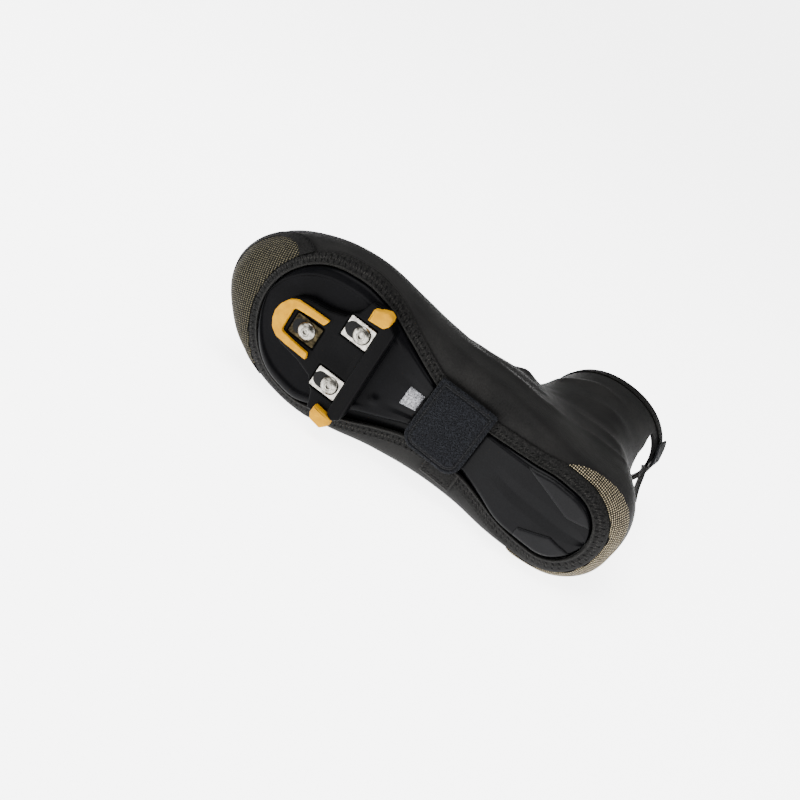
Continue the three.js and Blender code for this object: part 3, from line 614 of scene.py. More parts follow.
# Speckled grey insert
def windowFinish():
    f = Finish("soleWindow", Specular_IOR_Level=0.3)
    mm = f.millimetres()
    speck = f.cells(mm, 0.9)
    fine = f.noise(mm, 0.6, 3.0, 0.8)
    bright = (fine + speck * 0.4).smooth(0.5, 0.95)
    f.set("Base_Color", f.mix(bright, (0.012, 0.012, 0.013), (0.30, 0.30, 0.32)))
    f.set("Roughness", fine * 0.3 + 0.4)
    f.bump(speck + fine, 0.15, 0.8)
    return f.material


# Footbed foam faced with knit
def footbedFinish():
    f = Finish("footbed", Sheen_Weight=0.05, Specular_IOR_Level=0.1)
    mm = f.millimetres()
    fine = f.cells(mm, 1.2)
    f.set("Base_Color", f.mix(fine.smooth(0.1, 0.7), (0.006, 0.006, 0.007), (0.016, 0.016, 0.018)))
    f.set("Roughness", fine * 0.1 + 0.8)
    f.bump(fine, 0.1, 0.7)
    return f.material


neoprene = neopreneFinish()
bandCloth = bandFinish("bandCloth", 3.9, 2.6, 3.4)
hemCloth = bandFinish("hemCloth", 4.6, 3.0, 3.4)
edgeCloth = bandFinish("edgeCloth", 2.6, 1.4, 2.2, 0.35)
toeWeave = wovenFinish("toeWeave", (0.0007, 0.0006, 0.0004), (0.085, 0.073, 0.040), 1.3, 1.9, 0.35)
heelWeave = wovenFinish("heelWeave", (0.0016, 0.0014, 0.0009), (0.40, 0.330, 0.205), 1.3, 2.1, 0.0)
loopFabric = loopFinish()
solePlastic = soleFinish("solePlastic", (0.0022, 0.0022, 0.0026), 0.22, 0.12, 0.022)
heelRubber = soleFinish("heelRubber", (0.0048, 0.0048, 0.0053), 0.30, 0.0, 0.06)
cleatPlastic = soleFinish("cleatPlastic", (0.0012, 0.0012, 0.0014), 0.34, 0.0, 0.03)
cleatPad = padFinish()
cleatSteel = steelFinish("cleatSteel", (0.16, 0.15, 0.135), (0.46, 0.44, 0.40), 0.12)
boltSteel = steelFinish("boltSteel", (0.10, 0.095, 0.082), (0.34, 0.325, 0.29), 0.07, 0.12)
# A much darker, brownish copy of the steel for the front washer in the front pad's hollow: painted shade
shadedFrontWasherSteel = steelFinish("shadedFrontWasherSteel", (0.004, 0.0032, 0.002), (0.034, 0.027, 0.014), 0.08)
windowMesh = windowFinish()
footbed = footbedFinish()
print("finishes made")

# Upper
# Rear slit of the open zip, from foot to top: height, left edge and right edge
slitTable = np.array([[92.0, 15.5, 12.5], [102.7, 15.3, 6.5], [111.5, 15.6, 0.0], [123.9, 17.2, -7.0],
                      [137.2, 18.3, -12.0], [149.6, 20.6, -14.0], [160.0, 22.0, -14.0]])
slit = dict(zip(("z", "left", "right"), readTable(slitTable, np.linspace(0, len(slitTable) - 1, 61)).T))
slitReach = 40  # the slit is cut only through the back, up to this x
underside = {"below": 15, "lastSection": 13.4, "edgeGap": 0.4}
noLimit = -9.0  # the value of a rule that leaves a point alone


def slitInside(points):
    x, y, z = np.moveaxis(points, -1, 0)
    across = np.minimum(np.interp(z, slit["z"], slit["left"]) - y, y - np.interp(z, slit["z"], slit["right"]))
    within = np.minimum(z - slit["z"][0], slit["z"][-1] - z)
    return np.where(x < slitReach, np.minimum(across, within), noLimit)


def upperKeep(s, phi):
    points = formBase(s, phi)
    underneath = (np.cos(phi) < 0) & (points[..., 2] < underside["below"]) & (s < underside["lastSection"])
    hole = openingInside(points[..., 0], points[..., 1], *[underside["edgeGap"]] * 3)
    under = np.where(underneath, hole, noLimit)
    return np.maximum(under, slitInside(points))


upperRows = np.concatenate([np.linspace(0, 1, 14)[:-1], np.linspace(1, lastRow, 190)])
upperTurns = np.linspace(0, 2 * np.pi, 168, endpoint=False)
upper = trimmedPatch("upperShell", upperRows, upperTurns, upperKeep, formPoint, formNormal,
                     lambda s, phi, p: np.stack([s * 12, phi * 40], -1), wrap=True)
thicken(upper, shoe["wall"] - 1)
settle(upper, neoprene, "neoprene", "upper")
print("upper made")

# Binding round the opening
band = {"width": 7.8, "heel": 8.0, "toe": 4.5, "lift": 0.3, "thick": 0.9, "hem": 0.55, "steps": 620}


def makeBand():
    fine = np.linspace(0, 1, 4001)
    line = openingOutline(fine)
    run = np.concatenate([[0], np.cumsum(np.linalg.norm(np.diff(line, axis=0), axis=1))])
    turn = np.interp(np.linspace(0, run[-1], band["steps"] + 1)[:-1], run, fine)
    inner = openingOutline(turn)
    outer = openingOutline(turn, band["width"], band["heel"], band["toe"])
    # the ring's section: under face out, outer edge, top face back, and a thicker rolled edge at the opening
    rim = [0.10, 0.05, 0.01, 0.0, 0.015]
    across = np.concatenate([np.linspace(0.05, 0.97, 5), [1.0], np.linspace(0.96, 0.16, 9), rim])
    rolled = np.exp(-((across - 0.06) / 0.06) ** 2)
    high = np.concatenate([np.zeros(5), [0.5], np.ones(9), [1.0, 1.0, 0.85, 0.5, 0.2]])
    lift = band["lift"] + high * (band["thick"] + band["hem"] * rolled)
    plan = inner[:, None] * (1 - across[None, :, None]) + outer[:, None] * across[None, :, None]
    s, phi = underPlace(plan[..., 0], plan[..., 1])
    base = formBase(s, phi)
    points = base + formNormal(s, phi) * lift[None, :, None]
    width = np.linalg.norm(outer - inner, axis=1)
    uv = np.stack([np.repeat(np.linspace(0, run[-1], band["steps"] + 1)[:-1, None], len(across), 1),
                   across[None, :] * width[:, None]], -1)
    return tube("bindingRing", points, True, uv)


settle(makeBand(), bandCloth, "band_textile", "bottom_band")
print("binding made")

# Woven panels
panel = {"lift": 1.3, "thick": 1.0, "gap": 0.4}
bandClear = [band[side] + panel["gap"] for side in ("width", "heel", "toe")]


# Height above the toe panel's top edge: level round the tip, and falling to the binding along each side
def aboveToePanel(p):
    side = np.minimum(13.0, 4.4 + 0.46 * (p[..., 0] - 235.0))
    return p[..., 2] - side - 0.2 * np.maximum(-p[..., 1], 0)


# Negative where a panel may lie: outside the binding, or anywhere that isn't underneath
def outsideBand(p, underneath):
    return np.where(underneath, openingInside(p[..., 0], p[..., 1], *bandClear), noLimit)


def toeKeep(s, phi):
    p = formBase(s, phi)
    return np.maximum(aboveToePanel(p), outsideBand(p, np.cos(phi) < 0))


# The bound edge above the weave: a strip of even height with a seam along it
toeEdge = {"width": 3.4, "under": 0.3, "lift": 1.7, "thick": 1.0}


def toeEdgeKeep(s, phi):
    p = formBase(s, phi)
    above = aboveToePanel(p)
    strip = np.maximum(-toeEdge["under"] - above, above - toeEdge["width"])
    return np.maximum(strip, outsideBand(p, np.cos(phi) < 0))


def toeGrid(rows, turns):
    sections = np.concatenate([np.linspace(0, 1, 40)[:-1], np.linspace(1, 5.6, rows)])
    return sections, np.linspace(0, 2 * np.pi, turns, endpoint=False)


toePanel = trimmedPatch("toePanel", *toeGrid(110, 240), toeKeep,
                        lambda s, phi: formPoint(s, phi, panel["lift"]), formNormal,
                        lambda s, phi, p: np.stack([p[:, 1], p[:, 2] + p[:, 0]], -1), wrap=True)
settle(thicken(toePanel, panel["thick"]), toeWeave, "woven_panel", "toe_panel")

toeEdgePiece = trimmedPatch("toePanelEdge", *toeGrid(150, 300), toeEdgeKeep,
                            lambda s, phi: formPoint(s, phi, toeEdge["lift"]), formNormal,
                            lambda s, phi, p: np.stack([p[:, 1] - p[:, 0], aboveToePanel(p)], -1), wrap=True)
settle(thicken(toeEdgePiece, toeEdge["thick"]), edgeCloth, "band_textile")


# The heel panel's top line in the side view, x and z
heelTop = readTable(np.array([[-20, 18.9], [8, 18.1], [26.7, 13.8], [53.4, 2.1]]), np.linspace(0, 3, 40)).T


def heelKeep(s, phi):
    p = formBase(s, phi)
    plane = p[..., 2] - np.interp(p[..., 0], *heelTop)
    return np.maximum(plane, outsideBand(p, p[..., 2] < underside["below"]))


def heelSheet(s, phi, p):
    behind = np.maximum(36 - p[:, 0], 0)
    around = 33 * np.arctan2(p[:, 1], np.maximum(behind, 1e-3))
    around += np.sign(p[:, 1]) * np.maximum(p[:, 0] - 36, 0)
    return np.stack([around, p[:, 2] + np.hypot(p[:, 1], behind)], -1)


heelPanel = trimmedPatch("heelPanel", np.linspace(9.0, 14.2, 170),
                         np.linspace(0.42 * np.pi, 1.58 * np.pi, 200), heelKeep,
                         lambda s, phi: formPoint(s, phi, panel["lift"]), formNormal, heelSheet)
settle(thicken(heelPanel, panel["thick"]), heelWeave, "woven_panel", "heel_panel")
print("woven panels made")

# Cuff: a turned hem round the collar
cuff = {"depth": 8.0, "thick": 1.0, "lift": 0.3, "turns": 220}


def makeCuff():
    phi = np.linspace(0, 2 * np.pi, cuff["turns"], endpoint=False)
    top, below = (formBase(np.full_like(phi, row), phi) for row in (lastRow, lastRow - 1))
    rowLength = np.linalg.norm(top - below, axis=-1)
    back = np.array([0.02, 0.3, 0.6, 0.9, 1.0, 0.97, 0.85, 0.7, 0.55, 0.4, 0.25, 0.1, 0.02, 0.0, 0.0])
    high = np.array([-0.4, -0.4, -0.4, -0.4, 0.35, 0.75, 1, 1, 1, 1, 1.05, 1.15, 1.0, 0.7, 0.25])
    s = lastRow - back[None, :] * cuff["depth"] / rowLength[:, None]
    turn = np.repeat(phi[:, None], len(back), 1)
    points = formPoint(s, turn, cuff["lift"] + high[None, :] * cuff["thick"] + np.zeros_like(s))
    run = np.concatenate([[0], np.cumsum(np.linalg.norm(np.diff(points[:, 7], axis=0), axis=1))])
    uv = sheetOf(run, back * cuff["depth"])
    return tube("collarHem", points, True, uv)


settle(makeCuff(), hemCloth, "neoprene", "cuff")

# Closure at the back: tape along each side of the slit, and the tab over the hem
closure = {"tape": 4.5, "inset": 1.2, "thick": 0.8}


# A flat tape on the wall's inner face beside an edge of the slit, showing a little past that edge
def makeTape(name, edge, sign):
    z = np.linspace(slit["z"][0] - 3, slit["z"][-1] + 2.5, 60)
    across = np.array([0.0, 0.35, 0.7, 1.0, 1.0, 0.7, 0.35, 0.12, 0.0])
    high = np.array([0.0, 0.0, 0.0, 0.1, 0.6, 1.0, 1.0, 0.9, 0.5])
    inset = closure["inset"] * np.clip((np.interp(z, slit["z"], slit["left"] - slit["right"]) - 1) / 4, 0, 1)
    beside = sign * (across[None, :] * closure["tape"] - inset[:, None])
    y = np.interp(z, slit["z"], slit[edge])[:, None] + beside
    lift = -shoe["wall"] + 0.1 + high[None, :] * closure["thick"] + np.zeros_like(y)
    points = backPoint(y, np.repeat(z[:, None], len(across), 1), lift)
    return tube(name, points, False, sheetOf(z, across * closure["tape"]))


tapeCloth = bandFinish("tapeCloth", 3.2, 0.4, 2.2)
settle(makeTape("slitTapeLeft", "left", 1), tapeCloth, "band_textile")
settle(makeTape("slitTapeRight", "right", -1), tapeCloth, "band_textile")

# The zip's free half hangs slack behind the slit, from the collar band down to the heel
freeTape = {"path": [(9.4, 0.5, 161), (9.8, 4.0, 146), (9.4, 7.9, 120), (9.2, 12.4, 90), (8.9, 18.4, 60),
                     (8.6, 21.6, 45)], "width": 3.6, "thick": 1.2, "side": (-0.92, 0.30, 0.25)}


# A ribbon along the path, standing on its edge: a superellipse spanned by its side and its thickness
def makeFreeTape():
    path = readTable(np.array(freeTape["path"], float), np.linspace(0, len(freeTape["path"]) - 1, 90))
    turn = np.linspace(0, 2 * np.pi, 12, endpoint=False)
    wide = np.sign(np.cos(turn)) * np.abs(np.cos(turn)) ** 0.6
    thin = np.sign(np.sin(turn)) * np.abs(np.sin(turn)) ** 0.6
    side = np.array(freeTape["side"])
    back = np.cross(np.gradient(path, axis=0), side)
    back /= np.linalg.norm(back, axis=1, keepdims=True)
    taper = 1 + 0.5 * np.exp(-(np.arange(len(path)) / 14.0) ** 2)
    points = (path[:, None] + side * (taper[:, None] * (wide * freeTape["width"] / 2)[None, :])[..., None]
              + back[:, None] * (thin * freeTape["thick"] / 2)[None, :, None])
    return tube("zipTapeFree", points, False, sheetOf(path[:, 2], (wide + 1) * 1.3))


settle(makeFreeTape(), tapeCloth, "band_textile")


# The hook-and-loop tab: a rounded rectangle over the hem whose free end stands off the shaft
tab = {"y": 9.3, "z": 167.0, "halfWide": 7.0, "halfHigh": 9.0, "corner": 2.0, "stand": 1.6}


def tabEdge(y, z):
    qy = np.maximum(np.abs(y - tab["y"]) - tab["halfWide"] + tab["corner"], 0)
    qz = np.maximum(np.abs(z - tab["z"]) - tab["halfHigh"] + tab["corner"], 0)
    return np.hypot(qy, qz) - tab["corner"]


def tabPlace(y, z):
    free = np.clip((y - tab["y"] + 3) / (tab["halfWide"] + 3), 0, 1) ** 1.5
    return backPoint(y, z, 3.0 - 0.6 * np.exp(np.minimum(tabEdge(y, z), 0) / 0.9) + tab["stand"] * free)


def makeTab():
    piece = trimmedPatch("collarTab", np.linspace(1.5, 17.2, 34), np.linspace(157, 177, 36),
                         tabEdge, tabPlace,
                         lambda y, z: formNormal(*backPlace(y, z)),
                         lambda y, z, p: np.stack([y + z, -tabEdge(y, z)], -1))
    return thicken(piece, 1.3)


settle(makeTab(), loopFabric, "loop_fabric", "collar_tab")
print("cuff and closure made")

# Strap under the arch
strap = {"back": 94, "front": 132, "left": 25, "right": 20.6, "corner": 9, "level": 2.7, "thick": 1.6}


# Distance outside the strap's outline, negative within: square at the sewn end and rounded at the free one
def strapEdge(x, y):
    middle, reach = (strap["back"] + strap["front"]) / 2, (strap["front"] - strap["back"]) / 2
    corner = np.where(y < 0, strap["corner"], 1.0)
    qx = np.abs(x - middle) - reach + corner
    qy = np.where(y < 0, -y - strap["right"], y - strap["left"]) + corner
    return np.hypot(np.maximum(qx, 0), np.maximum(qy, 0)) + np.minimum(np.maximum(qx, qy), 0) - corner


def strapLift(x, y):
    rim = np.exp(np.minimum(strapEdge(x, y), 0) / 0.8)
    wave = 0.25 * np.sin(x * 0.21 + 0.6) * np.sin(y * 0.12)
    return strap["level"] + strap["thick"] - 0.7 * rim + wave


strapPiece = trimmedPatch("archStrap", np.linspace(strap["back"] - 0.5, strap["front"] + 0.5, 90),
                          np.linspace(-strap["right"] - 0.5, strap["left"] + 0.5, 120), strapEdge,
                          lambda x, y: underPoint(x, y, strapLift(x, y)),
                          lambda x, y: formNormal(*underPlace(x, y)),
                          lambda x, y, p: np.stack([x + y, -strapEdge(x, y)], -1))
settle(thicken(strapPiece, 1.4), loopFabric, "loop_fabric", "strap")

catch = {"x": (92.0, 113.0), "y": (-29.1, -16.1), "level": 1.1, "thick": 0.9}


def catchEdge(x, y):
    qx = np.abs(x - sum(catch["x"]) / 2) - (catch["x"][1] - catch["x"][0]) / 2
    qy = np.abs(y - sum(catch["y"]) / 2) - (catch["y"][1] - catch["y"][0]) / 2
    return np.maximum(qx, qy)


def catchLift(x, y):
    rim = np.exp(np.minimum(catchEdge(x, y), 0) / 0.6)
    return catch["level"] + catch["thick"] - 0.4 * rim


catchCloth = bandFinish("catchCloth", 2.2, 0.3, 2.4)
catchPiece = trimmedPatch("strapCatch", np.linspace(catch["x"][0] - 0.5, catch["x"][1] + 0.5, 46),
                          np.linspace(catch["y"][0] - 0.5, catch["y"][1] + 0.5, 30), catchEdge,
                          lambda x, y: underPoint(x, y, catchLift(x, y)),
                          lambda x, y: formNormal(*underPlace(x, y)),
                          lambda x, y, p: np.stack([x + y, -catchEdge(x, y)], -1))
settle(thicken(catchPiece, 0.8), catchCloth, "band_textile", "strap_catch")
print("strap made")

# Outsole
sole = {"gap": 0.6, "edge": 3.2, "rimHeight": 0.9, "rimInset": 4.6, "rimWidth": 1.7, "heelFacet": 0.9,
        "rib": 0.8}
dimple = {"x": 154.7, "y": -10.1, "depth": 1.6, "radius": 3.0}
plateSize = {"heel": 8.0, "toe": 256.0, "share": 0.93, "inset": 4.4, "room": 0.5}


def bell(value, centre, width):
    return np.exp(-((value - centre) / width) ** 2)


def step(value, low, high):
    t = np.clip((value - low) / (high - low), 0, 1)
    return t * t * (3 - 2 * t)


# Height of the sole's underside over x and y. Its edge rounds up; the forefoot has a raised rim round a
# shallow basin; the waist has two long ribs and a dimple; the heel has a spine between its two pads.
def treadHeight(x, share, y, left, right, row):
    toEdge = np.minimum(left - y, right + y)
    rounded = np.clip(1 - toEdge / sole["edge"], 0, 1)
    forefoot = step(x, 150, 168)
    heel = 1 - step(x, 62, 88)
    waist = step(x, 118, 130) * (1 - step(x, 142, 156))
    height = row[..., 4] + sole["edge"] * (1 - np.sqrt(np.maximum(1 - rounded ** 2, 0))) * 0.9
    height -= forefoot * sole["rimHeight"] * bell(toEdge, sole["rimInset"], sole["rimWidth"])
    height += forefoot * 0.15 * step(toEdge, 8, 14)
    height += heel * sole["heelFacet"] * np.maximum(0, 1 - np.abs(share) / 0.3)
    height += waist * sole["rib"] * np.maximum(0, 1 - np.abs(np.abs(share) - 0.45) / 0.2)
    height -= dimple["depth"] * bell(np.hypot(x - dimple["x"], y - dimple["y"]), 0, dimple["radius"])
    return height


def makeOutsole():
    start, end = opening["heelEnd"] + sole["gap"], opening["toeEnd"] - sole["gap"]
    turns = np.linspace(0, np.pi, 222)[1:-1]
    x = start + (end - start) * (1 - np.cos(turns)) / 2
    left, right, row = openingHalf(x, -sole["gap"], -sole["gap"], -sole["gap"])
    right = np.maximum(right - row[..., 3], 0.5)
    even = np.linspace(-1, 1, 81)
    share = np.sign(even) * (1 - (1 - np.abs(even)) ** 1.35)
    y = np.where(share[None, :] < 0, share[None, :] * right[:, None], share[None, :] * left[:, None])
    z = treadHeight(x[:, None], share[None, :], y, left[:, None], right[:, None], row[:, None])
    bottom = np.stack([np.repeat(x[:, None], len(share), 1), y, z], -1)
    top = np.stack([np.stack([x, left, row[:, 5] - 1.5], -1), np.stack([x, -right, row[:, 5] - 1.5], -1)], 1)
    rings = np.concatenate([bottom, top], 1)
    return tube("outsoleTread", rings, False)


outsole = makeOutsole()


# The plate within the upper: as wide as the room there, from the wall's inner face up to the footbed
def makePlate():
    x = np.linspace(plateSize["heel"], plateSize["toe"], 90)
    row = underRow(np.clip(x, underTable[0, 0], underTable[-1, 0]))
    rings = []
    place, _ = underPlace(x, np.zeros_like(x))
    form = formRow(place)
    half = np.maximum(form[:, 4] * plateSize["share"] - plateSize["inset"], 1.0)
    for share in np.linspace(-1, 1, 13):
        y = form[:, 5] + half * share
        rings.append(underPoint(x, y, np.full_like(x, -shoe["wall"] - plateSize["room"])))
    bottom = np.stack(rings, 1)
    plateTop = np.maximum(row[:, 5] - 0.1, bottom[..., 2].max(1) + 0.5)
    top = np.stack([np.stack([x, bottom[:, side, 1], plateTop], -1) for side in (-1, 0)], 1)
    return tube("outsolePlate", np.concatenate([bottom, top], 1), False)


plate = makePlate()
settle(plate, solePlastic, "sole_plastic")
settle(outsole, solePlastic, "sole_plastic", "outsole")


# Pads and insert on the tread: a plan outline as a polygon, rounded by a radius, proud of the sole
def polygonEdge(x, y, corners):
    corners = np.array(corners, float)
    best, winding = np.full(np.shape(x), 1e9), np.zeros(np.shape(x), bool)
    for a, b in zip(corners, np.roll(corners, -1, 0)):
        t = np.clip(((x - a[0]) * (b[0] - a[0]) + (y - a[1]) * (b[1] - a[1])) / np.dot(b - a, b - a), 0, 1)
        best = np.minimum(best, np.hypot(x - a[0] - t * (b[0] - a[0]), y - a[1] - t * (b[1] - a[1])))
        crosses = (a[1] > y) != (b[1] > y)
        with np.errstate(divide="ignore", invalid="ignore"):
            at = (b[0] - a[0]) * (y - a[1]) / (b[1] - a[1]) + a[0]
        winding ^= crosses & (x < at)
    return np.where(winding, -best, best)


def treadPlace(x, y, proud):
    left, right, row = openingHalf(x, -sole["gap"], -sole["gap"], -sole["gap"])
    right = np.maximum(right - row[..., 3], 0.5)
    share = np.where(y < 0, y / np.maximum(right, 1e-3), y / np.maximum(left, 1e-3))
    z = treadHeight(x, share, y, left, right, row)
    return np.stack([x, y, z - proud], -1)


downward = lambda x, y: np.stack([np.zeros_like(x), np.zeros_like(x), -np.ones_like(x)], -1)


def treadPad(name, corners, proud, margin, counts=(90, 60)):
    corners = np.array(corners, float)
    low, high = corners.min(0) - 0.5, corners.max(0) + 0.5

    def edge(x, y):
        left, right, _ = openingHalf(x, -sole["gap"], -sole["gap"], -sole["gap"])
        within = np.maximum(y - left + margin, -y - right + margin)
        return np.maximum(polygonEdge(x, y, corners), within)

    def place(x, y):
        rim = np.exp(np.minimum(edge(x, y), 0) / 0.5)
        return treadPlace(x, y, proud - 0.8 * proud * rim)
    xs, ys = (np.linspace(low[k], high[k], counts[k]) for k in (0, 1))
    return trimmedPatch(name, xs, ys, edge, place, downward, lambda x, y, p: np.stack([x, y], -1))


padLeft = treadPad("heelPadLeft", [[66, 17], [33, 7.5], [19, 9.5], [17, 24], [66, 24]], 1.2, 1.2)
padRight = treadPad("heelPadRight", [[50, -14.5], [50, -24], [17, -24], [19, -9.5], [33, -7]], 1.2, 1.2)
settle(thicken(padLeft, 1.0), heelRubber, "heel_rubber", "heel_pad_left")
settle(thicken(padRight, 1.0), heelRubber, "heel_rubber", "heel_pad_right")
insert = treadPad("soleInsert", [[133.5, -2], [143, -3], [143, 9], [133.5, 8]], 0.9, 0.5, (40, 44))
settle(thicken(insert, 0.8), windowMesh, "window_mesh", "sole_window")
print("outsole made")


# Cleat
# A point in the cleat's plan, u forward and w to the side, at a depth below the sole's face
def cleatPlace(u, w, depth):
    c, s = math.cos(cleat["yaw"]), math.sin(cleat["yaw"])
    return np.stack([cleat["x"] + u * c - w * s, cleat["y"] + u * s + w * c, cleat["face"] - depth], -1)


# An outline as a closed smooth or straight polygon, resampled evenly; corners are cut by averaging
def evenOutline(corners, count, rounding):
    corners = np.array(corners, float)
    closed = np.vstack([corners, corners[:1]])
    run = np.concatenate([[0], np.cumsum(np.linalg.norm(np.diff(closed, axis=0), axis=1))])
    at = np.linspace(0, run[-1], count + 1)[:-1]
    line = np.stack([np.interp(at, run, closed[:, 0]), np.interp(at, run, closed[:, 1])], -1)
    for _ in range(rounding):
        line = 0.25 * np.roll(line, 1, 0) + 0.5 * line + 0.25 * np.roll(line, -1, 0)
    return line


def mirroredOutline(half):
    half = np.array(half, float)
    other = half[half[:, 1] > 1e-6] * np.array([1, -1])
    return np.vstack([half, other[::-1]])


# A slab of the outline between two depths, its lower edge rounded: rings step in as they go down
def slab(name, outline, top, bottom, rounding):
    tangent = np.roll(outline, -1, 0) - np.roll(outline, 1, 0)
    normal = np.stack([tangent[:, 1], -tangent[:, 0]], -1)
    normal /= np.maximum(np.linalg.norm(normal, axis=1, keepdims=True), 1e-9)
    following = np.roll(outline, -1, 0)
    area = 0.5 * np.sum(outline[:, 0] * following[:, 1] - following[:, 0] * outline[:, 1])
    if area < 0:
        normal = -normal
    turn = np.linspace(0, np.pi / 2, 5)
    inward = np.concatenate([[0.0, 0.0], rounding * (1 - np.cos(turn))])
    depth = np.concatenate([[top, top + 0.3], bottom - rounding + rounding * np.sin(turn)])
    rings = [cleatPlace(*(outline - normal * k).T, np.full(len(outline), d)) for k, d in zip(inward, depth)]
    return tube(name, np.stack(rings), False)


# Shades the large faces flat and keeps edges over the angle sharp
def flat(obj, angle=40):
    mesh = obj.data
    corners = np.zeros(len(mesh.polygons), np.int32)
    mesh.polygons.foreach_get("loop_total", corners)
    mesh.polygons.foreach_set("use_smooth", corners <= 4)
    mesh.set_sharp_from_angle(angle=math.radians(angle))
    return obj


bodyOutline = mirroredOutline([[34, 0], [33, 6.5], [29.5, 12], [23, 15.6], [10, 17.5], [0, 21], [-6, 28],
                               [-9, 37], [-22, 37.5], [-25, 33], [-29, 30], [-29, 0]])
lipOutline = mirroredOutline([[-20.5, 0], [-20.5, 30], [-24.5, 33.5], [-29, 30.5], [-29, 0]])
washer = {"long": 17.0, "wide": 13.0, "thick": 1.3}
boltSpots = {"left": (-13.6, 17.65), "right": (-13.6, -17.65), "front": (13.6, 0.0)}
washerSpots = {"left": (-11.4, 17.65), "right": (-11.4, -17.65), "front": (14.5, 0.0)}


def boxOutline(u, w, grow=0.0):
    a, b = washer["long"] / 2 + grow, washer["wide"] / 2 + grow
    return [[u - a, w - b], [u + a, w - b], [u + a, w + b], [u - a, w + b]]


# The body's face: a grid over its plan with pockets for the washers, a raised middle and a lower nose
def makeCleatBody():
    top, face = cleat["gap"], cleat["gap"] + cleat["body"]
    body = slab("cleatBase", evenOutline(bodyOutline, 300, 2), top, face - 1.5, 0.2)
    pockets = {k: np.array(boxOutline(*spot, 0.5)) for k, spot in washerSpots.items()}

    def edge(u, w):
        e = polygonEdge(u, w, bodyOutline)
        for corners in pockets.values():
            e = np.maximum(e, -polygonEdge(u, w, corners))
        return e + 0.15

    def place(u, w):
        rim = np.exp(np.minimum(edge(u, w), 0) / 0.35)
        nose = 0.9 * step(u, 24, 30)
        middle = 0.8 * bell(w, 0, 9) * step(u, -20, -16) * (1 - step(u, -4, 2))
        return cleatPlace(u, w, face - 0.55 * rim - nose - middle)
    u, w = np.linspace(-30, 35, 150), np.linspace(-39, 39, 170)
    faceSheet = trimmedPatch("cleatFace", u, w, edge, place, downward)
    thicken(faceSheet, 1.6)
    lip = slab("cleatLip", evenOutline(lipOutline, 220, 3), face - 1.0, face + 3.6, 1.0)
    return [flat(body), faceSheet, flat(lip)]


bodyPieces = makeCleatBody()
for piece, nodes in zip(bodyPieces, (["cleat_body"], [], [])):
    settle(piece, cleatPlastic, "cleat_plastic", *nodes)

# The U-shaped front pad, and the two rear pads
padTop = 2 * cleat["gap"] + cleat["body"]
outerArc = [[34.6, 0], [33.6, 5], [31, 9.5], [26.5, 12.4], [20, 13.0], [5.4, 13.4]]
innerArc = [[6.6, 9.7], [15, 9.2], [24.8, 8.0], [25.9, 6.8], [26, 0]]


# How deep a pad roots in the body, how far it stands proud, and the rounding of its lower edge
padSize = {"front": {"root": 0.8, "proud": 2.2, "round": 0.35}, "rear": {"root": 2.0, "proud": 4.2, "round": 1.1}}


def padSlab(name, outline, kind):
    size = padSize[kind]
    return slab(name, outline, padTop - size["root"], padTop + size["proud"], size["round"])


def uOutline(outer, inner):
    outer, inner = np.array(outer), np.array(inner)
    flip = np.array([1, -1])
    return np.vstack([outer, inner, inner[:-1][::-1] * flip, outer[1:][::-1] * flip])


frontLine = evenOutline(uOutline(outerArc, innerArc), 320, 4)
frontPad = padSlab("cleatFrontPad", frontLine, "front")
settle(flat(frontPad), cleatPad, "cleat_pad", "cleat_front_pad")
rearPads = {"left": [[-12.3, 28.4], [-12.2, 35.6], [-20.5, 39.0], [-23.6, 37.4], [-24.2, 32.4], [-22, 29.4]],
            "right": [[-13.0, -30.8], [-12.8, -36.0], [-14.6, -39.4], [-22.0, -40.6], [-25.4, -37.0],
                      [-24.6, -32.2]]}
for side, outline in rearPads.items():
    pad = padSlab("cleatPad" + side.title(), evenOutline(outline, 90, 2), "rear")
    settle(flat(pad), cleatPad, "cleat_pad", "cleat_pad_" + side)

# Washers with a long hole, and bolts with a hexagon socket; the front washer is painted darker as shade in the
# front pad's hollow
washerTop = cleat["gap"] + cleat["body"] - washer["thick"] + cleat["gap"]
for side, (u, w) in washerSpots.items():
    washerLine = evenOutline(boxOutline(u, w), 120, 2)
    washerSlab = slab("washer" + side.title(), washerLine, washerTop, washerTop + washer["thick"], 0.35)
    settle(flat(washerSlab), shadedFrontWasherSteel if side == "front" else cleatSteel, "cleat_steel", "washer_" + side)

# The long hole that shows ahead of the bolt's head: a dark stadium just proud of the washer
slot = {"reach": 6.2, "frontReach": 4.4, "radius": 4.6, "proud": 0.06}
slotShade = Finish("slotShade", Base_Color=(0.0012, 0.0012, 0.0012), Roughness=0.6, Specular_IOR_Level=0.1)
slotFace = washerTop + washer["thick"] + slot["proud"]
for side, (u, w) in boltSpots.items():
    turns = np.linspace(0, 2 * np.pi, 64, endpoint=False)
    reach = slot["frontReach" if side == "front" else "reach"]
    hole = np.stack([u + np.where(np.cos(turns) > 0, reach, 0) + slot["radius"] * np.cos(turns),
                     w + slot["radius"] * np.sin(turns)], -1)
    slotSlab = slab("washerSlot" + side.title(), hole, washerTop + 0.4, slotFace, 0.02)
    settle(flat(slotSlab), slotShade.material, "cleat_steel")


